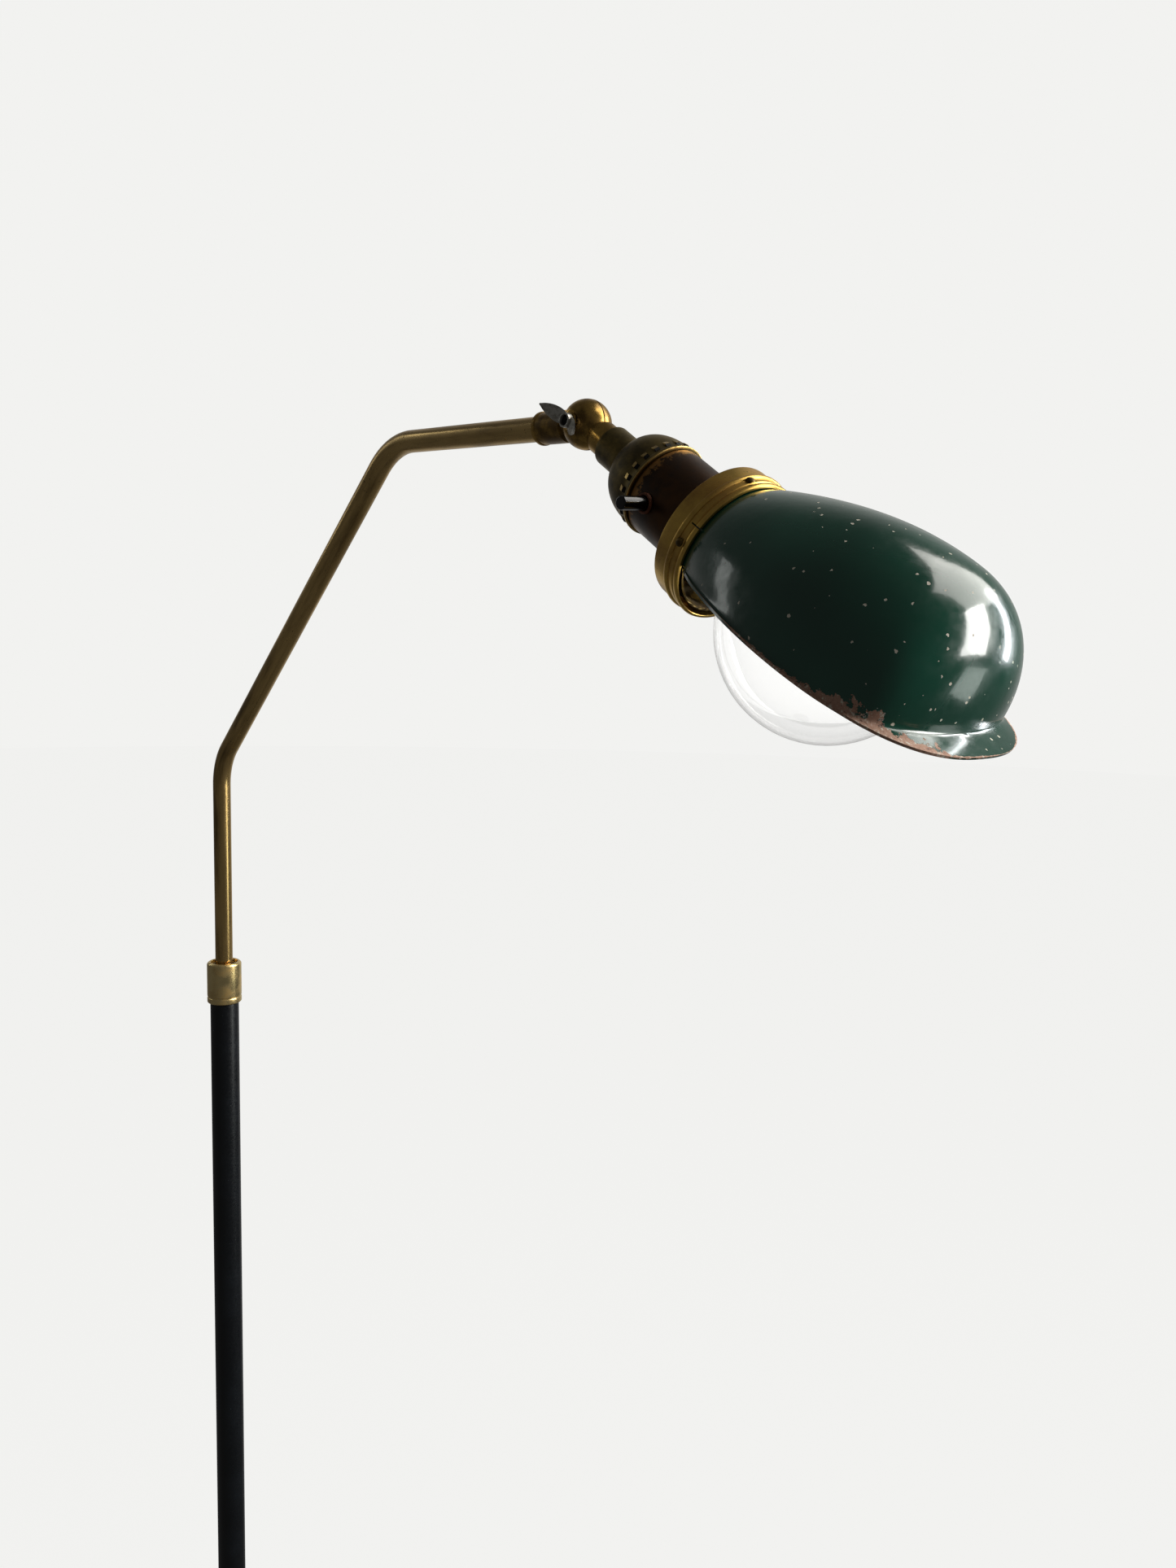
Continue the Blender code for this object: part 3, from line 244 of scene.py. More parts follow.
def turned(name: str, outline: Outline, segments: int = ROUND) -> Piece:
    """A closed body turned about local Z from a closed outline of (radius, height) points.

    Args:
        name: the object's name.
        outline: the outline; a radius of zero is a point on the axis.
        segments: how many faces go round.

    Returns:
        The body, in its own frame.
    """
    bm = bmesh.new()
    angles = [2.0 * math.pi * step / segments for step in range(segments)]
    rings = []
    for radius, height in outline:
        spots = [(0.0, 0.0, height)]
        if radius > 1e-7:
            spots = [(radius * math.cos(angle), radius * math.sin(angle), height) for angle in angles]
        rings.append([bm.verts.new(spot) for spot in spots])
    for index, ring in enumerate(rings):
        after = rings[(index + 1) % len(rings)]
        if len(ring) == 1 and len(after) == 1:
            continue
        for step in range(segments):
            turn = (step + 1) % segments
            corners = [ring[step % len(ring)], ring[turn % len(ring)]]
            corners += [after[turn % len(after)], after[step % len(after)]]
            bm.faces.new(list(dict.fromkeys(corners)))
    return from_bmesh(name, bm)


def combine(target: Piece, other: Piece, operation: str) -> None:
    """Applies a Boolean to the target and removes the other object.

    Args:
        target: the piece that is cut or joined to.
        other: the cutter or the shape to add.
        operation: UNION or DIFFERENCE.
    """
    modifier = target.modifiers.new("combine", "BOOLEAN")
    modifier.operation = operation
    modifier.solver = "EXACT"
    modifier.object = other
    target.data = evaluated_mesh(target)
    target.modifiers.clear()
    bpy.data.objects.remove(other)


def evaluated_mesh(obj: Piece) -> bpy.types.Mesh:
    """The plain mesh that an object's modifiers make.

    Args:
        obj: the object with its modifiers.

    Returns:
        The new mesh.
    """
    bpy.context.view_layer.update()
    graph = bpy.context.evaluated_depsgraph_get()
    return bpy.data.meshes.new_from_object(obj.evaluated_get(graph))


def across(radius: float, start: float, stop: float, height: float, angle: float) -> Piece:
    """A work cylinder that lies across local Z, at a height and an angle round it.

    Args:
        radius: the cylinder's radius.
        start: where it starts, from the local Z axis.
        stop: where it ends.
        height: its height on local Z.
        angle: its turn round local Z, in radians.

    Returns:
        The cylinder.
    """
    work = turned("work", [(0.0, start), (radius, start), (radius, stop), (0.0, stop)], SMALL)
    work.data.transform(Matrix.Rotation(QUARTER, 4, "Y"))
    work.data.transform(Matrix.Rotation(angle, 4, "Z"))
    work.data.transform(Matrix.Translation((0.0, 0.0, height)))
    return work


def keep_own_place(obj: Piece) -> None:
    """Stores each point's place in the piece's own frame, which patterns that follow its axis read.

    Args:
        obj: the piece, before it is placed.
    """
    mesh = obj.data
    if OWN_PLACE in mesh.attributes:
        return
    spots = np.zeros(len(mesh.vertices) * 3, np.float32)
    mesh.vertices.foreach_get("co", spots)
    mesh.attributes.new(OWN_PLACE, "FLOAT_VECTOR", "POINT").data.foreach_set("vector", spots)


def settle(obj: Piece, body: str, finish: "Finish", nodes: Sequence[str] = (),
           matrix: Matrix | None = None, sharp: float = 32.0) -> Piece:
    """Places a finished mesh, smooths it, dresses it and hands it to its CAD body.

    Args:
        obj: the piece, with its mesh in its own frame.
        body: the CAD body that it rides on.
        finish: what it is dressed with; a piece that has its materials already keeps them.
        nodes: the CAD nodes that it stands for.
        matrix: its own frame in the row frame.
        sharp: edges that turn more than this many degrees stay sharp.

    Returns:
        The piece.
    """
    keep_own_place(obj)
    mesh = obj.data
    mesh.name = obj.name
    if matrix is not None:
        mesh.transform(matrix)
    mesh.polygons.foreach_set("use_smooth", [True] * len(mesh.polygons))
    mesh.set_sharp_from_angle(angle=math.radians(sharp))
    if not len(mesh.materials) or mesh.materials[0] is None:
        mesh.materials.clear()
        mesh.materials.append(finish.material())
    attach(obj, body)
    if nodes:
        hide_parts(*nodes)
    LOG.info("%s rides on %s, %d faces", obj.name, body, len(mesh.polygons))
    return obj


def copy_of(node: str, name: str) -> Piece:
    """A merged copy of a CAD node's mesh, so that it can be shaded smoothly.

    Args:
        node: the CAD node's name.
        name: the copy's name.

    Returns:
        The copy.
    """
    bm = bmesh.new()
    bm.from_mesh(frame["nodes"][node].data)
    bmesh.ops.remove_doubles(bm, verts=bm.verts[:], dist=2e-6)
    mesh = bpy.data.meshes.new(name)
    bm.to_mesh(mesh)
    bm.free()
    return new_object(name, mesh)


# Finishes


class Place(Enum):
    """Which coordinates a pattern follows."""

    OBJECT = "Object"
    OWN = OWN_PLACE


@dataclass(frozen=True)
class Finish:
    """A surface finish, named for the real material and how its surface was made."""

    name: str

    def material(self) -> bpy.types.Material:
        """The finish's material, made once.

        Returns:
            The material.
        """
        found = bpy.data.materials.get(self.name)
        if found is not None:
            return found
        made = bpy.data.materials.new(self.name)
        made.use_nodes = True
        tree = made.node_tree
        self.dress(tree, tree.nodes["Principled BSDF"])
        return made

    def dress(self, tree: Tree, shader: Shader) -> None:
        """Builds the nodes that feed the shader."""
        raise NotImplementedError


def coordinates(tree: Tree, place: Place, stretch: tuple[float, float, float]) -> Feed:
    """The coordinates a pattern reads, stretched along its own axes.

    Args:
        tree: the material's tree.
        place: object coordinates, or the place kept in the piece's own frame.
        stretch: how many times finer the pattern is along each axis.

    Returns:
        The vector socket.
    """
    if place is Place.OBJECT:
        source = add_node(tree, "ShaderNodeTexCoord").outputs["Object"]
    else:
        source = add_node(tree, "ShaderNodeAttribute", attribute_name=OWN_PLACE).outputs["Vector"]
    return add_node(tree, "ShaderNodeMapping", {"Vector": source, "Scale": stretch}).outputs["Vector"]


@dataclass(frozen=True)
class OldBrass(Finish):
    """Unlacquered brass, spun or drawn: bright where rubbed, brown where tarnished, with dark pits."""

    # Real pits are a tenth of this size; they are drawn this coarse so that they show.
    bright: str = "B99350"
    dark: str = "4D3B1C"
    pit: str = "1E1710"
    cover: float = 0.5
    softness: float = 0.10
    patch_mm: float = 9.0
    pit_mm: float = 0.8
    pit_share: float = 0.2
    shine: float = 0.26
    dull: float = 0.46
    tarnish_metal: float = 0.85
    relief_mm: float = 0.012
    place: Place = Place.OWN
    stretch: tuple[float, float, float] = EVEN

    def dress(self, tree: Tree, shader: Shader) -> None:
        """Tarnish in clouds over bright metal, pits over both, and a faint drawn or hammered relief.

        Args:
            tree: the material's tree.
            shader: the node that the surface goes into.
        """
        spot = coordinates(tree, self.place, self.stretch)
        level = coordinates(tree, self.place, EVEN)
        cloud = add_node(tree, "ShaderNodeTexNoise",
                         {"Vector": spot, "Scale": per_mm(self.patch_mm), "Detail": 7.0, "Roughness": 0.62})
        middle = 0.5 + (0.5 - self.cover) * 0.5
        tarnish = add_node(tree, "ShaderNodeMapRange",
                           {"Value": cloud.outputs["Fac"], "From Min": middle - self.softness,
                            "From Max": middle + self.softness}, interpolation_type="SMOOTHSTEP")
        grain = add_node(tree, "ShaderNodeTexNoise",
                         {"Vector": level, "Scale": per_mm(self.pit_mm), "Detail": 4.0, "Roughness": 0.6})
        limit = 0.72 - 0.22 * self.pit_share
        pits = add_node(tree, "ShaderNodeMapRange",
                        {"Value": grain.outputs["Fac"], "From Min": limit, "From Max": limit + 0.06})
        wide = add_node(tree, "ShaderNodeTexNoise",
                        {"Vector": level, "Scale": per_mm(self.patch_mm * 2.6), "Detail": 2.0})
        where = add_node(tree, "ShaderNodeMapRange",
                         {"Value": wide.outputs["Fac"], "From Min": 0.42, "From Max": 0.62})
        pitted = add_node(tree, "ShaderNodeMath",
                          {0: pits.outputs["Result"], 1: where.outputs["Result"]}, operation="MULTIPLY")
        metal = add_node(tree, "ShaderNodeMix",
                         {0: tarnish.outputs["Result"], 6: linear(self.bright), 7: linear(self.dark)},
                         data_type="RGBA")
        colour = add_node(tree, "ShaderNodeMix",
                          {0: pitted.outputs["Value"], 6: metal.outputs[2], 7: linear(self.pit)},
                          data_type="RGBA")
        gloss = add_node(tree, "ShaderNodeMapRange",
                         {"Value": tarnish.outputs["Result"], "To Min": self.shine, "To Max": self.dull})
        rough = add_node(tree, "ShaderNodeMath",
                         {0: pitted.outputs["Value"], 1: 0.25, 2: gloss.outputs["Result"]},
                         operation="MULTIPLY_ADD")
        oxide = add_node(tree, "ShaderNodeMapRange",
                         {"Value": tarnish.outputs["Result"], "To Min": 1.0, "To Max": self.tarnish_metal})
        relief = add_node(tree, "ShaderNodeBump",
                          {"Height": grain.outputs["Fac"], "Strength": 1.0,
                           "Distance": self.relief_mm / 1000.0})
        feed(tree, shader, {"Base Color": colour.outputs[2], "Roughness": rough.outputs["Value"],
                            "Metallic": oxide.outputs["Result"], "Normal": relief.outputs["Normal"]})


@dataclass(frozen=True)
class ShellBrass(OldBrass):
    """Oxidised brass socket shell: brown all over, worn back to brass in a ragged line under the cap's rim."""

    worn: str = "946A38"
    worn_station: float = 0.0517
    worn_reach: float = 0.0030
    worn_swing: float = 0.014

    def dress(self, tree: Tree, shader: Shader) -> None:
        """The oxidised brass, with the rubbed line mixed over its colour.

        Args:
            tree: the material's tree.
            shader: the node that the surface goes into.
        """
        super().dress(tree, shader)
        base = shader.inputs["Base Color"].links[0].from_socket
        own = add_node(tree, "ShaderNodeAttribute", attribute_name=OWN_PLACE).outputs["Vector"]
        split = add_node(tree, "ShaderNodeSeparateXYZ", {"Vector": own})
        ragged = add_node(tree, "ShaderNodeTexNoise",
                          {"Vector": own, "Scale": per_mm(3.0), "Detail": 5.0, "Roughness": 0.65})
        lowest = self.worn_station - self.worn_swing / 2.0
        edge = add_node(tree, "ShaderNodeMath",
                        {0: ragged.outputs["Fac"], 1: self.worn_swing, 2: lowest}, operation="MULTIPLY_ADD")
        past = add_node(tree, "ShaderNodeMath",
                        {0: split.outputs["Z"], 1: edge.outputs["Value"]}, operation="SUBTRACT")
        mask = add_node(tree, "ShaderNodeMapRange",
                        {"Value": past.outputs["Value"], "From Min": -0.0002, "From Max": self.worn_reach * 0.3,
                         "To Min": 1.0, "To Max": 0.0})
        mixed = add_node(tree, "ShaderNodeMix",
                         {0: mask.outputs["Result"], 6: base, 7: linear(self.worn)}, data_type="RGBA")
        feed(tree, shader, {"Base Color": mixed.outputs[2]})


@dataclass(frozen=True)
class Coating(Finish):
    """A painted, moulded, glazed or woven surface that is not metal."""

    base: str = "0B0E11"
    second: str = "15181B"
    cover: float = 0.4
    patch_mm: float = 12.0
    low_rough: float = 0.3
    high_rough: float = 0.42
    grain_mm: float = 1.2
    relief_mm: float = 0.01
    sheen: float = 0.0
    place: Place = Place.OBJECT
    stretch: tuple[float, float, float] = EVEN

    def dress(self, tree: Tree, shader: Shader) -> None:
        """Two close tones in soft patches, a fine grain in the relief and a gloss that varies with both.

        Args:
            tree: the material's tree.
            shader: the node that the surface goes into.
        """
        spot = coordinates(tree, self.place, self.stretch)
        patch = add_node(tree, "ShaderNodeTexNoise",
                         {"Vector": spot, "Scale": per_mm(self.patch_mm), "Detail": 5.0, "Roughness": 0.6})
        middle = 0.5 + (0.5 - self.cover) * 0.5
        tone = add_node(tree, "ShaderNodeMapRange",
                        {"Value": patch.outputs["Fac"], "From Min": middle - 0.12, "From Max": middle + 0.12})
        grain = add_node(tree, "ShaderNodeTexNoise",
                         {"Vector": spot, "Scale": per_mm(self.grain_mm), "Detail": 3.0})
        colour = add_node(tree, "ShaderNodeMix",
                          {0: tone.outputs["Result"], 6: linear(self.base), 7: linear(self.second)},
                          data_type="RGBA")
        rough = add_node(tree, "ShaderNodeMapRange",
                         {"Value": grain.outputs["Fac"], "From Min": 0.3, "From Max": 0.7,
                          "To Min": self.low_rough, "To Max": self.high_rough})
        relief = add_node(tree, "ShaderNodeBump",
                          {"Height": grain.outputs["Fac"], "Strength": 1.0,
                           "Distance": self.relief_mm / 1000.0})
        shader.inputs["Sheen Weight"].default_value = self.sheen
        feed(tree, shader, {"Base Color": colour.outputs[2], "Roughness": rough.outputs["Result"],
                            "Normal": relief.outputs["Normal"]})


@dataclass(frozen=True)
class NickelSteel(Finish):
    """Stamped or turned steel with worn nickel plate: grey, fairly bright, with dull grey-brown spots."""

    plate: str = "BDBAB2"
    worn: str = "8B867C"
    spot_mm: float = 2.0
    shine: float = 0.30
    dull: float = 0.48
    metal: float = 0.65
    relief_mm: float = 0.02

    def dress(self, tree: Tree, shader: Shader) -> None:
        """Bright plate with worn spots and fine handling marks.

        Args:
            tree: the material's tree.
            shader: the node that the surface goes into.
        """
        spot = coordinates(tree, Place.OBJECT, EVEN)
        cloud = add_node(tree, "ShaderNodeTexNoise",
                         {"Vector": spot, "Scale": per_mm(self.spot_mm), "Detail": 6.0, "Roughness": 0.65})
        wear = add_node(tree, "ShaderNodeMapRange",
                        {"Value": cloud.outputs["Fac"], "From Min": 0.46, "From Max": 0.62})
        colour = add_node(tree, "ShaderNodeMix",
                          {0: wear.outputs["Result"], 6: linear(self.plate), 7: linear(self.worn)},
                          data_type="RGBA")
        rough = add_node(tree, "ShaderNodeMapRange",
                         {"Value": wear.outputs["Result"], "To Min": self.shine, "To Max": self.dull})
        relief = add_node(tree, "ShaderNodeBump",
                          {"Height": cloud.outputs["Fac"], "Strength": 0.6,
                           "Distance": self.relief_mm / 1000.0})
        shader.inputs["Metallic"].default_value = self.metal
        feed(tree, shader, {"Base Color": colour.outputs[2], "Roughness": rough.outputs["Result"],
                            "Normal": relief.outputs["Normal"]})


@dataclass(frozen=True)
class ChippedEnamel(Finish):
    """Fired green enamel over steel: deep gloss, knocked off along the edge to rust and pale ground."""

    green: str = "175A47"
    deep: str = "062A1F"
    ground: str = "DAD3C3"
    rust: str = "B58E79"
    burnt: str = "5E4036"
    low_rough: float = 0.13
    high_rough: float = 0.27
    coat: float = 0.4
    coat_rough: float = 0.07
    bare_rough: float = 0.65
    chip_depth: float = 1.6
    relief_mm: float = 0.07
    speck_mm: float = 3.4
    speck_share: float = 0.34
    speck_size: float = 0.14
    edge_chip_mm: float = 4.6

    def dress(self, tree: Tree, shader: Shader) -> None:
        """Green glaze, then small specks, then the chipped band along the near edge.

        Args:
            tree: the material's tree.
            shader: the node that the surface goes into.
        """
        own = add_node(tree, "ShaderNodeAttribute", attribute_name=SHADE_PLACE).outputs["Vector"]
        spot = coordinates(tree, Place.OBJECT, EVEN)
        split = add_node(tree, "ShaderNodeSeparateXYZ", {"Vector": own})
        cloud = add_node(tree, "ShaderNodeTexNoise",
                         {"Vector": spot, "Scale": per_mm(40.0), "Detail": 2.0, "Roughness": 0.4})
        glaze = add_node(tree, "ShaderNodeMix",
                         {0: cloud.outputs["Fac"], 6: linear(self.green), 7: linear(self.deep)},
                         data_type="RGBA")
        specks = self.specks(tree, spot, split)
        band = self.edge_band(tree, spot, split)
        chipped = add_node(tree, "ShaderNodeMath",
                           {0: specks, 1: band}, operation="MAXIMUM", use_clamp=True)
        bare = self.bare_colour(tree, spot, band)
        colour = add_node(tree, "ShaderNodeMix",
                          {0: chipped.outputs["Value"], 6: glaze.outputs[2], 7: bare}, data_type="RGBA")
        haze = add_node(tree, "ShaderNodeTexNoise",
                        {"Vector": spot, "Scale": per_mm(6.0), "Detail": 7.0, "Roughness": 0.75})
        gloss = add_node(tree, "ShaderNodeMapRange",
                         {"Value": haze.outputs["Fac"], "From Min": 0.35, "From Max": 0.7,
                          "To Min": self.low_rough, "To Max": self.high_rough})
        rough = add_node(tree, "ShaderNodeMath",
                         {0: chipped.outputs["Value"], 1: self.bare_rough, 2: gloss.outputs["Result"]},
                         operation="MULTIPLY_ADD", use_clamp=True)
        peel = add_node(tree, "ShaderNodeTexNoise", {"Vector": spot, "Scale": per_mm(7.0), "Detail": 2.0})
        height = add_node(tree, "ShaderNodeMath",
                          {0: chipped.outputs["Value"], 1: -self.chip_depth, 2: peel.outputs["Fac"]},
                          operation="MULTIPLY_ADD")
        relief = add_node(tree, "ShaderNodeBump",
                          {"Height": height.outputs["Value"], "Strength": 1.0,
                           "Distance": self.relief_mm / 1000.0})
        glazed = add_node(tree, "ShaderNodeMath",
                          {0: chipped.outputs["Value"], 1: -self.coat, 2: self.coat}, operation="MULTIPLY_ADD")
        shader.inputs["Coat Roughness"].default_value = self.coat_rough
        feed(tree, shader, {"Base Color": colour.outputs[2], "Roughness": rough.outputs["Value"],
                            "Coat Weight": glazed.outputs["Value"], "Normal": relief.outputs["Normal"],
                            "Coat Normal": relief.outputs["Normal"]})

    def specks(self, tree: Tree, spot: Feed, split: Any) -> Feed:
        """Small chips all over, closer together toward the nose.

        Args:
            tree: the material's tree.
            spot: the coordinates of the pattern.
            split: the node that gives the place along the head, across it and from the edge, in millimetres.

        Returns:
            The mask socket.
        """
        wander = add_node(tree, "ShaderNodeTexNoise", {"Vector": spot, "Scale": per_mm(0.9), "Detail": 2.0})
        bend = add_node(tree, "ShaderNodeVectorMath",
                        {0: wander.outputs["Color"], 1: (0.0011, 0.0011, 0.0011), 2: spot},
                        operation="MULTIPLY_ADD")
        cells = add_node(tree, "ShaderNodeTexVoronoi",
                         {"Vector": bend.outputs["Vector"], "Scale": per_mm(self.speck_mm), "Randomness": 1.0})
        tint = add_node(tree, "ShaderNodeSeparateColor", {"Color": cells.outputs["Color"]})
        share = add_node(tree, "ShaderNodeMapRange",
                         {"Value": split.outputs["X"], "From Min": 110.0, "From Max": 185.0,
                          "To Min": self.speck_share * 0.5, "To Max": self.speck_share * 1.9})
        picked = add_node(tree, "ShaderNodeMath",
                          {0: tint.outputs["Red"], 1: share.outputs["Result"]}, operation="LESS_THAN")
        size = add_node(tree, "ShaderNodeMapRange",
                        {"Value": tint.outputs["Green"], "To Min": self.speck_size * 0.35,
                         "To Max": self.speck_size * 1.25})
        inside = add_node(tree, "ShaderNodeMath",
                          {0: cells.outputs["Distance"], 1: size.outputs["Result"]}, operation="LESS_THAN")
        return add_node(tree, "ShaderNodeMath",
                        {0: inside.outputs["Value"], 1: picked.outputs["Value"]},
                        operation="MULTIPLY").outputs["Value"]

    def edge_band(self, tree: Tree, spot: Feed, split: Any) -> Feed:
        """The chipped band along the open edge, widest on the near side before the nose.

        Args:
            tree: the material's tree.
            spot: the coordinates of the pattern.
            split: the node that gives the place along the head, across it and from the edge, in millimetres.

        Returns:
            The mask socket.
        """
        along = add_node(tree, "ShaderNodeMapRange",
                         {"Value": split.outputs["X"], "From Min": 90.0, "From Max": 210.0})
        greys = [(0.0, 0.0), (0.30, 0.03), (0.40, 0.16), (0.64, 0.34), (0.73, 1.0), (0.875, 0.95),
                 (0.915, 0.14)]
        width = add_node(tree, "ShaderNodeValToRGB", {"Fac": along.outputs["Result"]},
                         stops=[(position, (grey, grey, grey, 1.0)) for position, grey in greys])
        side = add_node(tree, "ShaderNodeMapRange",
                        {"Value": split.outputs["Y"], "From Min": -10.0, "From Max": 12.0,
                         "To Min": 0.16, "To Max": 1.0})
        reach = add_node(tree, "ShaderNodeMath",
                         {0: width.outputs["Color"], 1: side.outputs["Result"]}, operation="MULTIPLY")
        ragged = add_node(tree, "ShaderNodeTexNoise",
                          {"Vector": spot, "Scale": per_mm(3.4), "Detail": 6.0, "Roughness": 0.68})
        tooth = add_node(tree, "ShaderNodeMapRange",
                         {"Value": ragged.outputs["Fac"], "From Min": 0.36, "From Max": 0.64,
                          "To Min": self.edge_chip_mm * 0.35, "To Max": self.edge_chip_mm * 1.45})
        limit = add_node(tree, "ShaderNodeMath",
                         {0: reach.outputs["Value"], 1: tooth.outputs["Result"]}, operation="MULTIPLY")
        return add_node(tree, "ShaderNodeMath",
                        {0: split.outputs["Z"], 1: limit.outputs["Value"]},
                        operation="LESS_THAN").outputs["Value"]

    def bare_colour(self, tree: Tree, spot: Feed,
                    band: Feed) -> Feed:
        """What shows in a chip: rust in the band, the pale ground coat in the specks.

        Args:
            tree: the material's tree.
            spot: the coordinates of the pattern.
            band: the edge band's mask.

        Returns:
            The colour socket.
        """
        mottle = add_node(tree, "ShaderNodeTexNoise",
                          {"Vector": spot, "Scale": per_mm(1.3), "Detail": 5.0, "Roughness": 0.7})
        rusty = add_node(tree, "ShaderNodeValToRGB", {"Fac": mottle.outputs["Fac"]},
                         stops=[(0.34, linear(self.burnt)), (0.62, linear(self.ground)),
                                (0.44, linear(self.rust)), (0.55, linear(self.rust))])
        pale = add_node(tree, "ShaderNodeValToRGB", {"Fac": mottle.outputs["Fac"]},
                        stops=[(0.20, linear(self.rust)), (0.38, linear(self.ground))])
        return add_node(tree, "ShaderNodeMix",
                        {0: band, 6: pale.outputs["Color"], 7: rusty.outputs["Color"]},
                        data_type="RGBA").outputs[2]


@dataclass(frozen=True)
class BlownGlass(Finish):
    """Clear blown soda glass: colourless, with a little dust that dulls it unevenly."""

    dust_mm: float = 6.0
    high_rough: float = 0.03

    def dress(self, tree: Tree, shader: Shader) -> None:
        """Clear transmission with a faint uneven haze.

        Args:
            tree: the material's tree.
            shader: the node that the surface goes into.
        """
        spot = coordinates(tree, Place.OBJECT, EVEN)
        dust = add_node(tree, "ShaderNodeTexNoise",
                        {"Vector": spot, "Scale": per_mm(self.dust_mm), "Detail": 4.0})
        rough = add_node(tree, "ShaderNodeMapRange",
                         {"Value": dust.outputs["Fac"], "From Min": 0.5, "From Max": 0.8,
                          "To Min": 0.0, "To Max": self.high_rough})
        shader.inputs["Base Color"].default_value = linear("FFFFFF")
        shader.inputs["Transmission Weight"].default_value = 1.0
        shader.inputs["IOR"].default_value = 1.5
        feed(tree, shader, {"Roughness": rough.outputs["Result"]})


# Brown tarnish drawn out along the tube over warm brass, so it reads as old drawn tube.
ARM_BRASS = OldBrass("drawn_brass_tube_aged", bright="D4B274", dark="6E5730", cover=0.42, softness=0.18,
                     patch_mm=7.0, pit_mm=1.1, pit_share=0.4, shine=0.22, dull=0.38, tarnish_metal=0.7,
                     relief_mm=0.005, stretch=(1.0, 1.0, 0.12))
# Pale, clean turned brass: the one bright accent on the black pole.
COLLAR_BRASS = OldBrass("turned_brass_collar", bright="F2D99C", dark="CDA765", cover=0.35, softness=0.2,
                        patch_mm=8.0, pit_mm=0.9, pit_share=0.15, shine=0.24, dull=0.36,
                        tarnish_metal=0.55, relief_mm=0.0012)
# Smooth antique brass with broad brown clouds and sharp highlights on the ball.
KNUCKLE_BRASS = OldBrass("cast_brass_knuckle_antique", bright="BE9850", dark="624A22", cover=0.48,
                         softness=0.16, patch_mm=9.0, pit_mm=0.8, pit_share=0.2, shine=0.22, dull=0.36,
                         tarnish_metal=0.75, relief_mm=0.0012)
# Olive, half-matt brass that looks handled and dusty.
CAP_BRASS = OldBrass("spun_brass_cap_olive", bright="867342", dark="443A1D", cover=0.55, softness=0.2,
                     patch_mm=9.0, pit_mm=0.8, pit_share=0.3, shine=0.36, dull=0.5, tarnish_metal=0.7)
# Deep brown oxide with a rubbed golden line under the cap.
SHELL_BRASS = ShellBrass("drawn_brass_shell_oxidised", bright="583E29", dark="2C1F16", cover=0.55, softness=0.2,
                         patch_mm=11.0, pit_mm=0.7, pit_share=0.12, shine=0.30, dull=0.42, tarnish_metal=0.7)
# Golden spun brass with brown pits, the warmest tone on the head.
RING_BRASS = OldBrass("spun_brass_ring_golden", bright="DDB65C", dark="A87F3A", pit="5A4019", cover=0.42,
                      softness=0.2, patch_mm=12.0, pit_mm=0.8, pit_share=0.45, shine=0.28, dull=0.42,
                      tarnish_metal=0.6, relief_mm=0.004)
# Lighter brass: on the cap's rim edge it is partly rubbed bare brass and partly a painted highlight; on the
# window tongues it is a painted highlight.
RUBBED_AND_HIGHLIGHT_BRASS = OldBrass("spun_brass_rubbed_edge_and_painted_highlight", bright="C3A566", dark="7E6838", cover=0.4, patch_mm=3.0,
                      shine=0.3, dull=0.4)
# Dull brass that stays quiet inside the head.
INNER_BRASS = OldBrass("brass_inner_dull", bright="9A7E42", dark="4A3A1C", cover=0.55, patch_mm=8.0, shine=0.34,
                       dull=0.5)
# Soft grey plate with dull worn spots.
STEEL = NickelSteel("nickel_plated_steel")
# Nearly black screw heads.
DARK_STEEL = NickelSteel("steel_screw_dark", plate="6E6A62", worn="2B2722")
# Fine grey wire.
TUNGSTEN = NickelSteel("tungsten_wire", plate="8A8A88", worn="4A4A48", spot_mm=0.5)
# Satin black with long soft patches, so the pole shows one soft streak of light.
POLE_BLACK = Coating("satin_black_enamel_pole", base="090C10", second="12161B", cover=0.35, patch_mm=30.0,
                     low_rough=0.26, high_rough=0.38, grain_mm=1.6, relief_mm=0.012)
# Black with a faint cast pebble in its relief.
FOOT_BLACK = Coating("black_enamel_on_cast_iron", base="0B0D0F", second="17191B", cover=0.4, patch_mm=22.0,
                     low_rough=0.34, high_rough=0.5, grain_mm=2.2, relief_mm=0.08)
# Matt charcoal wool with a soft sheen.
FELT = Coating("pressed_wool_felt", base="101113", second="1E1F21", cover=0.5, patch_mm=2.0, low_rough=0.9,
               high_rough=1.0, grain_mm=0.4, relief_mm=0.2, sheen=0.4)
# Matt black with hardly any highlight.
RUBBER = Coating("moulded_rubber", base="0E0E0E", second="1A1A19", low_rough=0.6, high_rough=0.75, grain_mm=0.7)
# Dark bushes with a low soft shine.
NYLON = Coating("turned_nylon", base="141414", second="1E1E1E", low_rough=0.45, high_rough=0.6)
# Red-brown pressed fibre, dry and speckled.
FIBRE = Coating("vulcanised_fibre", base="7A4122", second="54280F", cover=0.5, patch_mm=1.5, low_rough=0.6,
                high_rough=0.8, grain_mm=0.4, relief_mm=0.03)
# Polished black with a crisp highlight.
BLACK_ROD = Coating("phenolic_rod_polished", base="08090A", second="101112", cover=0.3, low_rough=0.10,
                    high_rough=0.2, grain_mm=1.5, relief_mm=0.003)
# Cream glaze with a wet highlight.
PORCELAIN = Coating("glazed_porcelain", base="D9D4C8", second="C6C0B2", cover=0.4, low_rough=0.12,
                    high_rough=0.25, grain_mm=2.0)
# Off-white reflector glaze that lights the inside of the shade.
INNER_ENAMEL = Coating("white_enamel_reflector", base="E4E1D6", second="CFCBBE", cover=0.35, patch_mm=18.0,
                       low_rough=0.14, high_rough=0.28, grain_mm=2.5, relief_mm=0.02)
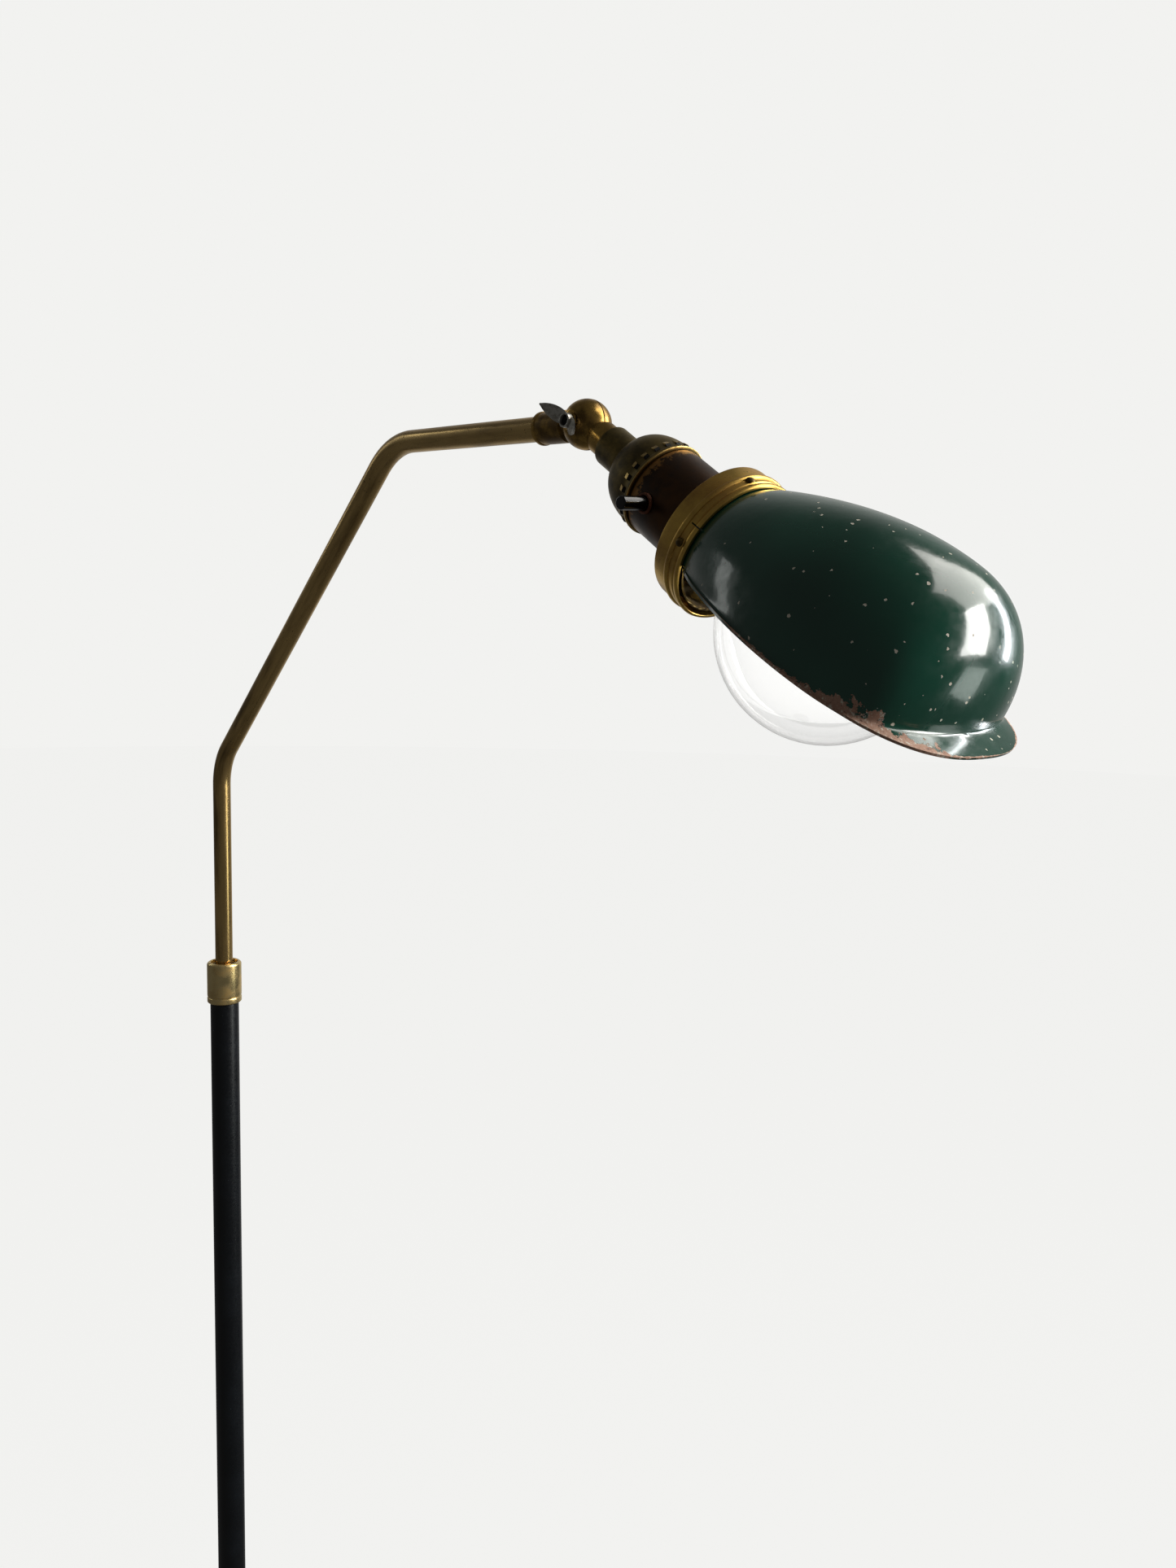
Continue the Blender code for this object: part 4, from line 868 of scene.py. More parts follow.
# Deep bottle green, glossy, with pale specks and a rusty, ragged edge.
GREEN_ENAMEL = ChippedEnamel("chipped_green_enamel")
# Thin clear glass that shows mostly by its rim.
GLASS = BlownGlass("blown_clear_glass")
# Painted shade: a near-black piece set in a hollow or slot where there is only shade.
PAINTED_SHADE_DARK = Coating("painted_shade_dark_hollow", base="050403", second="0A0806", low_rough=0.8, high_rough=0.9)


# Geometry trees


class GeometryTree:
    """A Geometry Nodes tree with named inputs, applied to an object and turned to a plain mesh."""

    def __init__(self, name: str, inputs: dict[str, str]) -> None:
        """Starts the tree.

        Args:
            name: the tree's name.
            inputs: for each named input, its socket type.
        """
        self.tree = bpy.data.node_groups.new(name, "GeometryNodeTree")
        interface = self.tree.interface
        interface.new_socket(name="Geometry", in_out="INPUT", socket_type="NodeSocketGeometry")
        interface.new_socket(name="Geometry", in_out="OUTPUT", socket_type="NodeSocketGeometry")
        self.keys = {}
        for label, kind in inputs.items():
            self.keys[label] = interface.new_socket(name=label, in_out="INPUT", socket_type=kind).identifier
        self.start = add_node(self.tree, "NodeGroupInput")

    def add(self, kind: str, links: dict[Any, Any] | None = None, **settings: Any) -> Any:
        """Adds one node to the tree."""
        return add_node(self.tree, kind, links, **settings)

    def close(self, geometry: Feed) -> None:
        """Ends the tree in Realize Instances and Set Material.

        Args:
            geometry: the socket that gives the finished shape.
        """
        real = self.add("GeometryNodeRealizeInstances", {"Geometry": geometry})
        dressed = self.add("GeometryNodeSetMaterial",
                           {"Geometry": real.outputs["Geometry"], "Material": self.start.outputs["Material"]})
        self.add("NodeGroupOutput", {"Geometry": dressed.outputs["Geometry"]})

    def run(self, obj: Piece, values: dict[str, Any]) -> Piece:
        """Applies the tree to an object.

        Args:
            obj: the object whose geometry goes in.
            values: a value for each named input.

        Returns:
            The same object with the tree's plain mesh and no modifier.
        """
        modifier = obj.modifiers.new(self.tree.name, "NODES")
        modifier.node_group = self.tree
        for label, value in values.items():
            modifier[self.keys[label]] = value
        obj.data = evaluated_mesh(obj)
        obj.modifiers.clear()
        return obj


def tube_tree() -> GeometryTree:
    """A tree that draws a round tube along a line of edges and keeps the place along and round it.

    Returns:
        The tree.
    """
    made = GeometryTree("drawn_tube", {"Radius": "NodeSocketFloat", "Sides": "NodeSocketInt",
                                       "Material": "NodeSocketMaterial"})
    line = made.add("GeometryNodeMeshToCurve", {"Mesh": made.start.outputs["Geometry"]})
    along = made.add("GeometryNodeSplineParameter")
    kept = made.add("GeometryNodeCaptureAttribute", {"Geometry": line.outputs["Curve"]}, domain="POINT")
    kept.capture_items.new("FLOAT", "Run")
    made.tree.links.new(along.outputs["Length"], kept.inputs[1])
    ring = made.add("GeometryNodeCurvePrimitiveCircle",
                    {"Resolution": made.start.outputs["Sides"], "Radius": made.start.outputs["Radius"]})
    spot = made.add("GeometryNodeInputPosition")
    round_kept = made.add("GeometryNodeCaptureAttribute", {"Geometry": ring.outputs["Curve"]}, domain="POINT")
    round_kept.capture_items.new("VECTOR", "Round")
    made.tree.links.new(spot.outputs["Position"], round_kept.inputs[1])
    skin = made.add("GeometryNodeCurveToMesh",
                    {"Curve": kept.outputs[0], "Profile Curve": round_kept.outputs[0], "Fill Caps": True})
    split = made.add("ShaderNodeSeparateXYZ", {"Vector": round_kept.outputs[1]})
    place = made.add("ShaderNodeCombineXYZ",
                     {"X": split.outputs["X"], "Y": split.outputs["Y"], "Z": kept.outputs[1]})
    stored = made.add("GeometryNodeStoreNamedAttribute",
                      {"Geometry": skin.outputs["Mesh"], "Name": OWN_PLACE, "Value": place.outputs["Vector"]},
                      data_type="FLOAT_VECTOR", domain="POINT")
    made.close(stored.outputs["Geometry"])
    return made


def wreath_tree() -> GeometryTree:
    """A tree that repeats the incoming shape round the local Z axis, each copy facing outwards.

    Returns:
        The tree.
    """
    made = GeometryTree("wreath", {"Count": "NodeSocketInt", "Radius": "NodeSocketFloat",
                                   "Height": "NodeSocketFloat", "Start": "NodeSocketFloat",
                                   "Material": "NodeSocketMaterial"})
    ring = made.add("GeometryNodeMeshCircle",
                    {"Vertices": made.start.outputs["Count"], "Radius": made.start.outputs["Radius"]})
    lift = made.add("ShaderNodeCombineXYZ", {"Z": made.start.outputs["Height"]})
    spin = made.add("ShaderNodeCombineXYZ", {"Z": made.start.outputs["Start"]})
    moved = made.add("GeometryNodeTransform",
                     {"Geometry": ring.outputs["Mesh"], "Translation": lift.outputs["Vector"],
                      "Rotation": spin.outputs["Vector"]})
    spot = made.add("GeometryNodeInputPosition")
    flat = made.add("ShaderNodeVectorMath", {0: spot.outputs["Position"], 1: (1.0, 1.0, 0.0)},
                    operation="MULTIPLY")
    facing = made.add("FunctionNodeAlignRotationToVector", {"Vector": flat.outputs["Vector"]}, axis="X",
                      pivot_axis="Z")
    placed = made.add("GeometryNodeInstanceOnPoints",
                      {"Points": moved.outputs["Geometry"], "Instance": made.start.outputs["Geometry"],
                       "Rotation": facing.outputs["Rotation"]})
    made.close(placed.outputs["Instances"])
    return made


# Sub-assemblies


@dataclass
class Foot:
    """The weighted round foot and its felt."""

    diameter: float = 0.254
    edge_height: float = 0.0145
    hub_height: float = 0.0280
    hub_diameter: float = 0.036
    crown_power: float = 1.7
    edge_round: float = 0.0040
    pad_thickness: float = 0.0025
    pad_inset: float = 0.0045
    bore: float = 0.0103
    recess: float = 0.038
    recess_depth: float = 0.0160

    def crown(self, radius: float) -> float:
        """Height of the foot's top at a radius.

        Args:
            radius: the distance from the foot's axis.

        Returns:
            The height.
        """
        hub = self.hub_diameter / 2.0
        share = max(0.0, (radius - hub) / (self.diameter / 2.0 - self.edge_round - hub))
        return self.hub_height - (self.hub_height - self.edge_height) * share ** self.crown_power

    def outline(self) -> Outline:
        """The casting's outline, from its bore round the underside to the crown.

        Returns:
            Points of (radius, height).
        """
        rim = self.diameter / 2.0
        low = self.pad_thickness + GAP
        points = [(self.bore / 2.0, low + self.recess_depth), (self.recess / 2.0, low + self.recess_depth)]
        points += [(self.recess / 2.0, low), (rim - 0.0015, low), (rim - 0.0004, low + 0.0004)]
        points += [(rim, low + 0.0015)]
        for step in range(9):
            angle = QUARTER * step / 8
            spot = rim - self.edge_round * (1.0 - math.cos(angle))
            points.append((spot, self.edge_height - self.edge_round * (1.0 - math.sin(angle))))
        inner = rim - self.edge_round
        for step in range(1, 21):
            radius = inner + (self.hub_diameter / 2.0 - inner) * step / 20
            points.append((radius, self.crown(radius)))
        return points + [(self.bore / 2.0, self.hub_height)]

    def build(self) -> None:
        """Makes the casting and the pad, and dresses the lead bushing."""
        settle(turned("foot_casting", self.outline(), FINE), "stand", FOOT_BLACK, ["base_casting"])
        radius = self.diameter / 2.0 - self.pad_inset
        high = self.pad_thickness
        pad = soften([(0.0, 0.0), (radius, 0.0), (radius, high), (0.0, high)], 0.0006)
        settle(turned("foot_felt", pad, FINE), "stand", FELT, ["base_pad"])
        settle(copy_of("lead_bushing", "foot_lead_bushing"), "stand", RUBBER, ["lead_bushing"])


@dataclass
class Pole:
    """The black pole, its foot trim and the bright collar that the arm slides in."""

    diameter: float = 0.0160
    bore: float = 0.0134
    start: float = 0.0283
    top: float = 1.0557
    trim_height: float = 0.0125
    collar_diameter: float = 0.0193
    collar_height: float = 0.0240
    collar_spigot: float = 0.0200
    seat_diameter: float = 0.0150
    arm_way: float = 0.0108
    screw_hole: float = 0.0016
    screw_hole_reach: tuple[float, float] = (0.004, 0.013)
    screw_height: float = 0.0110

    def collar_outline(self) -> Outline:
        """The collar: a spigot in the pole, a turned line near its base and a rounded lip round its seat.

        Returns:
            Points of (radius, height).
        """
        low = self.top + GAP
        high = low + self.collar_height
        outer = self.collar_diameter / 2.0
        seat = self.seat_diameter / 2.0
        way = self.arm_way / 2.0
        spigot = self.bore / 2.0 - GAP
        points = [(way, low - self.collar_spigot), (spigot, low - self.collar_spigot), (spigot, low)]
        points += [(outer - 0.0006, low), (outer, low + 0.0006), (outer, low + 0.0031)]
        points += [(outer - 0.0004, low + 0.0034), (outer - 0.0004, low + 0.0040), (outer, low + 0.0043)]
        points += [(outer, high - 0.0010)]
        points += [(outer - 0.0010, high), (seat, high), (seat, low + 0.0040), (way, low + 0.0040)]
        return soften(points, 0.0005)

    def build(self) -> None:
        """Makes the pole, the trim and the collar."""
        outer = self.diameter / 2.0
        inner = self.bore / 2.0
        tube = soften([(inner, self.start), (outer, self.start), (outer, self.top), (inner, self.top)], 0.0004)
        settle(turned("pole_black_tube", tube, ROUND), "stand", POLE_BLACK, ["pole_tube"])
        wall = outer + GAP
        trim = [(wall, 0.0), (wall + 0.0060, 0.0), (wall + 0.0060, 0.0030), (wall + 0.0045, 0.0045)]
        trim += [(wall + 0.0033, 0.0070), (wall + 0.0025, 0.0110), (wall + 0.0015, self.trim_height)]
        trim += [(wall, self.trim_height)]
        lifted = [(radius, height + self.start) for radius, height in soften(trim, 0.0007)]
        settle(turned("pole_trim", lifted, ROUND), "stand", KNUCKLE_BRASS, ["pole_foot_trim"])
        collar = turned("pole_brass_collar", self.collar_outline(), FINE)
        hole = across(self.screw_hole, *self.screw_hole_reach, self.top + GAP + self.screw_height, math.pi)
        combine(collar, hole, "DIFFERENCE")
        settle(collar, "stand", COLLAR_BRASS, ["pole_collar"])
        settle(copy_of("collar_set_screw", "collar_grub"), "stand", STEEL, ["collar_set_screw"])


@dataclass
class Arm:
    """The bent brass tube that slides and turns in the pole."""

    diameter: float = 0.0100
    first_height: float = 0.1163
    second: tuple[float, float] = (0.1695, 0.2762)
    end: tuple[float, float] = (0.2714, 0.2709)
    first_bend: float = 0.030
    second_bend: float = 0.035
    shy: float = 0.00014
    start_over_collar: float = 0.02
    ball_beyond: float = 0.0254
    socket_depth: float = 0.0085
    bend_steps: int = 20

    def direction(self) -> Vector:
        """Where the last straight run points."""
        return Vector((self.end[0] - self.second[0], 0.0, self.end[1] - self.second[1])).normalized()

    def bend(self, corner: Vector, before: Vector, after: Vector, radius: float) -> list[Vector]:
        """Points round a bend that replaces a corner.

        Args:
            corner: the corner of the centre line.
            before: a point on the run that comes in.
            after: a point on the run that goes out.
            radius: the bend's radius.

        Returns:
            The points, from the first run to the second.
        """
        entry = (before - corner).normalized()
        leave = (after - corner).normalized()
        half = entry.angle(leave) / 2.0
        trim = radius / math.tan(half)
        centre = corner + (entry + leave).normalized() * (radius / math.sin(half))
        start = corner + entry * trim - centre
        stop = corner + leave * trim - centre
        sweep = start.angle(stop)
        points = []
        for step in range(self.bend_steps + 1):
            share = step / self.bend_steps
            mix = math.sin((1.0 - share) * sweep) * start + math.sin(share * sweep) * stop
            points.append(centre + mix / math.sin(sweep))
        return points

    def path(self) -> list[Vector]:
        """The centre line, from inside the pole to the bottom of the knuckle's socket.

        Returns:
            The points in order.
        """
        foot = Vector((0.0, 0.0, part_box("arm_tube")[0].z))
        first = Vector((0.0, 0.0, COLLAR_TOP + self.first_height))
        second = Vector((self.second[0], 0.0, COLLAR_TOP + self.second[1]))
        end = BALL_CENTRE - self.direction() * (self.ball_beyond - self.socket_depth + GAP)
        points = [foot, Vector((0.0, 0.0, COLLAR_TOP + self.start_over_collar))]
        points += self.bend(first, foot, second, self.first_bend)
        return points + self.bend(second, first, end, self.second_bend) + [end]

    def build(self) -> None:
        """Draws the tube along its centre line."""
        bm = bmesh.new()
        verts = [bm.verts.new(point) for point in self.path()]
        for first, second in zip(verts, verts[1:]):
            bm.edges.new((first, second))
        mesh = bpy.data.meshes.new("arm_line")
        bm.to_mesh(mesh)
        bm.free()
        tube = new_object("arm_brass_tube", mesh)
        # The tube is drawn a little thin, so that its round skin stays in the faceted CAD tube's box.
        tube_tree().run(tube, {"Radius": self.diameter / 2.0 - self.shy, "Sides": SMALL,
                               "Material": ARM_BRASS.material()})
        settle(tube, "arm", ARM_BRASS, ["arm_tube"])


@dataclass
class Knuckle:
    """The split ball that the head tilts on, with its necks and thumb screw."""

    ball: float = 0.0188
    flat: float = 0.0083
    seam: float = 0.0006
    coupler: float = 0.0129
    coupler_start: float = -0.0254
    coupler_bore: float = 0.0106
    coupler_seat: float = -0.0169
    neck: float = 0.0126
    neck_end: float = 0.0160
    spigot: float = 0.0094
    spigot_end: float = 0.0365
    way: float = 0.0044
    boss: float = 0.0066
    boss_end: float = 0.0092
    shank: float = 0.0032
    recess: float = 0.0100
    hub: float = 0.0054
    hub_length: float = 0.0026
    wing_start: float = 0.0104
    wing_span: float = 0.0230
    wing_lift: float = 0.0052
    wing_width: float = 0.0056
    wing_thickness: float = 0.0010

    def seam_turn(self, side: int) -> Matrix:
        """Turns local Z onto the pivot, away from the seam on that side."""
        return Matrix.Rotation(-side * QUARTER, 4, "X")

    def half_outline(self, flat: float, clearance: float, seam: float) -> Outline:
        """Half a ball on local Z from its seam to its pole, which may be cut flat.

        Args:
            flat: how far out the pole is cut flat.
            clearance: how much larger than the ball it is.
            seam: how far from the middle it starts.

        Returns:
            Points of (radius, height).
        """
        radius = self.ball / 2.0 + clearance
        limit = math.asin(min(1.0, flat / radius))
        points: Outline = [(0.0, seam)]
        for step in range(25):
            angle = math.asin(seam / radius) + (limit - math.asin(seam / radius)) * step / 24
            points.append((radius * math.cos(angle), radius * math.sin(angle)))
        if flat < radius:
            points += [(0.0, flat)]
        else:
            points[-1] = (0.0, radius)
        return points

    def half(self, name: str, side: int, neck: Outline, flat: float, bore_depth: float) -> Piece:
        """One half of the ball with its neck along local Z.

        Args:
            name: the piece's name.
            side: +1 toward local Y, -1 away from it.
            neck: the neck's outline.
            flat: how far out the ball's pole is cut flat.
            bore_depth: how deep the screw's hole goes.

        Returns:
            The half, in its own frame.
        """
        body = turned(name, self.half_outline(flat, 0.0, self.seam / 2.0), ROUND)
        if side > 0:
            post = [(0.0, 0.001), (self.boss / 2.0, 0.001), (self.boss / 2.0, self.boss_end - 0.0003)]
            post += [(self.boss / 2.0 - 0.0003, self.boss_end), (0.0, self.boss_end)]
            combine(body, turned("work", post, ROUND), "UNION")
        body.data.transform(self.seam_turn(side))
        combine(body, turned("work", neck, ROUND), "UNION")
        other = turned("work", self.half_outline(self.ball, 0.00035, -self.seam / 2.0), ROUND)
        other.data.transform(self.seam_turn(-side))
        combine(body, other, "DIFFERENCE")
        hole = self.shank / 2.0 + GAP
        recess = self.recess / 2.0
        floor = 0.0007
        drill = [(0.0, -0.002), (recess, -0.002), (recess, floor), (hole, floor), (hole, bore_depth)]
        cutter = turned("work", drill + [(0.0, bore_depth)], ROUND)
        cutter.data.transform(self.seam_turn(side))
        combine(body, cutter, "DIFFERENCE")
        return body

    def build(self) -> None:
        """Makes both halves and dresses the screw and the washer."""
        outer = self.coupler / 2.0
        way = self.way / 2.0
        start = self.coupler_start
        bore = self.coupler_bore / 2.0
        neck = [(0.0, -0.0075), (way, -0.0075), (way, self.coupler_seat), (bore, self.coupler_seat)]
        neck += [(bore, start), (outer - 0.0004, start), (outer, start + 0.0005)]
        neck += [(outer, start + 0.0016), (outer - 0.0003, start + 0.0019), (outer - 0.0003, -0.0098)]
        neck += [(outer - 0.0012, -0.0092), (outer - 0.0012, -0.0020), (0.0, -0.0020)]
        place = frame_along(Arm().direction(), BALL_CENTRE)
        half = self.half("knuckle_half_arm", -1, neck, self.ball, 0.0068)
        settle(half, "arm", KNUCKLE_BRASS, ["knuckle_arm_half"], place)
        outer = self.neck / 2.0
        spigot = self.spigot / 2.0
        neck = [(0.0, 0.0065), (way, 0.0065), (way, self.spigot_end), (spigot, self.spigot_end)]
        neck += [(spigot, self.neck_end), (outer, self.neck_end), (outer, 0.0100), (outer - 0.0010, 0.0092)]
        neck += [(outer - 0.0010, 0.0020), (0.0, 0.0020)]
        half = self.half("knuckle_half_head", 1, neck, self.flat, self.boss_end * 1.5)
        settle(half, "head", KNUCKLE_BRASS, ["knuckle_head_half"], HEAD)
        settle(copy_of("knuckle_washer", "knuckle_fibre"), "head", FIBRE, ["knuckle_washer"])
        self.build_thumb_screw()

    def wing(self, sign: int) -> Piece:
        """One leaf of the wing: thin, widest near the hub and narrow at its bent-out tip.

        Args:
            sign: which side of the hub it is on.

        Returns:
            The leaf, with the screw along local Z.
        """
        root = Vector((0.0, sign * 0.0018, self.wing_start))
        tip = Vector((0.0, sign * self.wing_span / 2.0, self.wing_start + self.wing_lift))
        bm = bmesh.new()
        rings = []
        for step in range(19):
            share = step / 18
            middle = root.lerp(tip, share)
            middle.z += 0.0007 * (share * share - share)
            width = self.wing_width / 2.0 * math.sin(math.pi * (0.24 + 0.76 * share) ** 0.9) ** 0.7
            width = max(width, 0.0003)
            thick = self.wing_thickness / 2.0 * (1.0 - 0.6 * share)
            ring = []
            for corner in range(12):
                angle = 2.0 * math.pi * corner / 12
                around = Vector((width * math.cos(angle), 0.0, thick * math.sin(angle)))
                ring.append(bm.verts.new(middle + around))
            rings.append(ring)
        for ring, after in zip(rings, rings[1:]):
            for corner in range(12):
                turn = (corner + 1) % 12
                bm.faces.new((ring[corner], ring[turn], after[turn], after[corner]))
        bm.faces.new(rings[0][::-1])
        bm.faces.new(rings[-1])
        return from_bmesh(f"thumb_wing_{'upper' if sign > 0 else 'lower'}", bm)

    def build_thumb_screw(self) -> None:
        """Makes the thumb screw: shank and hollow-ended hub, a near-black disc of painted shade in the hollow,
        and two leaves.
        """
        shank = self.shank / 2.0
        hub = self.hub / 2.0
        low = self.boss_end + GAP
        high = low + self.hub_length
        well = hub - 0.0007
        outline = [(0.0, -0.0062), (shank - 0.0003, -0.0062), (shank, -0.0059), (shank, low)]
        outline += [(hub, low), (hub, high), (well, high), (well, high - 0.0012), (0.0, high - 0.0012)]
        place = HEAD @ self.seam_turn(1)
        screw = turned("knuckle_thumb_screw", soften(outline, 0.0003), SMALL)
        settle(screw, "thumb", STEEL, ["thumb_screw"], place)
        # A near-black disc at the bottom of the hub's well, painted shade for the hollow.
        plug = [(0.0, high - 0.0013), (well - 0.00005, high - 0.0013), (well - 0.00005, high - 0.0010)]
        hollow = turned("thumb_hub_painted_shade", plug + [(0.0, high - 0.0010)], SMALL)
        settle(hollow, "thumb", PAINTED_SHADE_DARK, [], place)
        for sign in (1, -1):
            settle(self.wing(sign), "thumb", STEEL, [], place, 60.0)


@dataclass
class Socket:
    """The cap with its pierced windows, the shell, and the push switch."""

    cap_diameter: float = 0.0338
    cap_sheet: float = 0.0006
    cap_neck: float = 0.0154
    neck_start: float = 0.0163
    dome_start: float = 0.0300
    band_start: float = 0.0452
    rim_station: float = 0.0493
    rim_diameter: float = 0.0350
    bore: float = 0.0100
    shell_diameter: float = 0.0332
    shell_sheet: float = 0.0005
    shell_start: float = 0.0440
    shell_step: float = 0.0496
    shell_end: float = 0.0850
    rod_diameter: float = 0.0048
    rod_station: float = 0.0580
    rod_turn: float = math.radians(5.4)
    rod_out: float = 0.0284
    rod_back: float = 0.0022
    rod_hole_reach: float = 0.03
    bush_diameter: float = 0.0072
    bush_thickness: float = 0.0011
    window_count: int = 23
    window_start: float = math.radians(6.0)
    window_width: float = 0.0022
    window_length: float = 0.0019
    window_rise: float = 0.00058
    window_radius: float = 0.0169
    window_station: float = 0.0462

    def dome(self, inset: float) -> Outline:
        """The dome's outline from the neck to the band, pulled in by a sheet thickness.

        Args:
            inset: the thickness, or zero for the outside.

        Returns:
            Points of (radius, height).
        """
        neck = self.cap_neck / 2.0
        band = self.cap_diameter / 2.0
        points = []
        for step in range(17):
            angle = QUARTER * step / 16
            radius = neck + (band - neck) * math.sin(angle)
            height = self.dome_start + (self.band_start - self.dome_start) * (1.0 - math.cos(angle))
            points.append((radius - inset * math.sin(angle), height + inset * math.cos(angle)))
        return points

    def cap_outline(self) -> Outline:
        """The cap: neck, dome, straight band and the beaded rim.

        Returns:
            Points of (radius, height).
        """
        neck = self.cap_neck / 2.0
        band = self.cap_diameter / 2.0
        rim = self.rim_diameter / 2.0
        hole = self.bore / 2.0
        start = self.neck_start
        points = [(hole, start), (neck - 0.0005, start), (neck - 0.0001, start + 0.0001)]
        points += [(neck, start + 0.0005), *self.dome(0.0), (band, self.rim_station - 0.0021)]
        points += [(band + 0.0002, self.rim_station - 0.0017), (rim - 0.0001, self.rim_station - 0.0012)]
        points += [(rim, self.rim_station - 0.0007), (rim - 0.0001, self.rim_station - 0.0001)]
        points += [(rim - 0.0003, self.rim_station), (band - self.cap_sheet, self.rim_station)]
        inside = [point for point in self.dome(self.cap_sheet)[::-1] if point[0] > hole + 0.0040]
        return points + inside + [(hole, inside[-1][1])]

    def window(self) -> Piece:
        """One pierced window: a tongue that rises toward the dome, in lighter brass as a painted highlight; the
        dark mouth under it is a separate piece of painted shade.

        Returns:
            The window, facing local X.
        """
        bm = bmesh.new()
        half = self.window_width / 2.0
        length = self.window_length
        rise = self.window_rise
        low = [bm.verts.new(spot) for spot in ((-0.0002, -half, -length), (-0.0002, half, -length),
                                               (-0.0002, half, 0.0), (-0.0002, -half, 0.0))]
        high = [bm.verts.new(spot) for spot in ((rise * 0.1, -half * 0.85, -length * 0.9),
                                                (rise * 0.1, half * 0.85, -length * 0.9),
                                                (rise, half * 0.8, -0.00012), (rise, -half * 0.8, -0.00012))]
        bm.faces.new(low[::-1])
        bm.faces.new(high)
        for index in range(4):
            after = (index + 1) % 4
            bm.faces.new((low[index], low[after], high[after], high[index]))
        return from_bmesh("cap_windows", bm)

    def mouth(self) -> Piece:
        """A near-black piece at the tall end of a window, painted shade in its slot.

        Returns:
            The slot, facing local X.
        """
        bm = bmesh.new()
        half = self.window_width / 2.0 * 0.85
        spots = [(x, y, z) for x, z in ((-0.0003, -0.0002), (-0.0003, 0.0010), (0.00003, 0.0010),
                                        (self.window_rise * 0.8, -0.0002)) for y in (-half, half)]
        spots += [(self.window_rise * 0.8, y, 0.0001) for y in (-half, half)]
        bmesh.ops.convex_hull(bm, input=[bm.verts.new(spot) for spot in spots])
        return from_bmesh("cap_window_painted_shade", bm)

    def shell_outline(self) -> Outline:
        """The shell: a reduced mouth inside the cap, a step and the straight barrel.

        Returns:
            Points of (radius, height).
        """
        outer = self.shell_diameter / 2.0
        neck = self.cap_diameter / 2.0 - self.cap_sheet - GAP
        step = outer - neck
        sheet = self.shell_sheet
        points = [(neck - sheet, self.shell_start), (neck, self.shell_start), (neck, self.shell_step)]
        points += [(outer, self.shell_step + step), (outer, self.shell_end), (outer - sheet, self.shell_end)]
        points += [(outer - sheet, self.shell_step + step), (neck - sheet, self.shell_step)]
        return soften(points, 0.0003, 2)

    def build(self) -> None:
        """Makes the cap, its windows, the shell, the rod and its bushes."""
        cap = turned("socket_brass_cap", self.cap_outline(), FINE)
        settle(cap, "head", CAP_BRASS, ["socket_cap"], HEAD)
        rim = self.rim_diameter / 2.0
        # The rim's edge ring, in lighter brass: partly rubbed wear, partly a painted highlight.
        edge = [(rim - 0.0006, self.rim_station - 0.0003), (rim + 0.00004, self.rim_station - 0.0006)]
        edge += [(rim + 0.00004, self.rim_station - 0.0001), (rim - 0.0002, self.rim_station + 0.00003)]
        edge += [(rim - 0.0006, self.rim_station + 0.00003)]
        settle(turned("cap_rim_rubbed_and_painted_highlight", edge, FINE), "head", RUBBED_AND_HIGHLIGHT_BRASS, [], HEAD)
        # The window tongues are in lighter brass as a painted highlight, and the slots under them are near-black
        # pieces of painted shade.
        tree = wreath_tree()
        ring = {"Count": self.window_count, "Radius": self.window_radius, "Height": self.window_station,
                "Start": self.window_start}
        windows = tree.run(self.window(), {**ring, "Material": RUBBED_AND_HIGHLIGHT_BRASS.material()})
        settle(windows, "head", RUBBED_AND_HIGHLIGHT_BRASS, [], HEAD, 20.0)
        mouths = tree.run(self.mouth(), {**ring, "Material": PAINTED_SHADE_DARK.material()})
        settle(mouths, "head", PAINTED_SHADE_DARK, [], HEAD, 20.0)
        shell = turned("socket_brass_shell", self.shell_outline(), FINE)
        angle = QUARTER + self.rod_turn
        reach = self.rod_hole_reach
        hole = across(self.rod_diameter / 2.0 + GAP, -reach, reach, self.rod_station, angle)
        combine(shell, hole, "DIFFERENCE")
        settle(shell, "head", SHELL_BRASS, ["socket_shell"], HEAD)
        self.build_switch(angle)

    def build_switch(self, angle: float) -> None:
        """Makes the push rod and the fibre bush on each side.

        Args:
            angle: the rod's turn round the head, in radians.
        """
        radius = self.rod_diameter / 2.0
        far = self.shell_diameter / 2.0 + self.rod_back
        rod = soften([(0.0, -far), (radius, -far), (radius, self.rod_out), (0.0, self.rod_out)], 0.0007, 4)
        turn = Matrix.Translation((0.0, 0.0, self.rod_station)) @ Matrix.Rotation(angle, 4, "Z")
        turn = turn @ Matrix.Rotation(QUARTER, 4, "Y")
        settle(turned("switch_push_rod", rod, ROUND), "switch", BLACK_ROD, ["switch_rod"],
               HEAD @ turn)
        reach = self.shell_diameter / 2.0 + self.bush_thickness
        for name, node, spin in (("switch_bush_near", "switch_bush_front", 0.0),
                                 ("switch_bush_far", "switch_bush_back", math.pi)):
            outline = [(radius + GAP, 0.0), (self.bush_diameter / 2.0, 0.0), (self.bush_diameter / 2.0, reach)]
            bush = turned(name, soften(outline + [(radius + GAP, reach)], 0.0004), ROUND)
            bush.data.transform(Matrix.Rotation(QUARTER, 4, "Y"))
            bush.data.transform(Matrix.Rotation(angle + spin, 4, "Z"))
            bush.data.transform(Matrix.Translation((0.0, 0.0, self.rod_station)))
            barrel = self.shell_diameter / 2.0 + GAP
            low = self.rod_station - 0.01
            core = [(0.0, low), (barrel, low), (barrel, low + 0.02), (0.0, low + 0.02)]
            combine(bush, turned("work", core, FINE), "DIFFERENCE")
            settle(bush, "head", FIBRE, [node], HEAD)


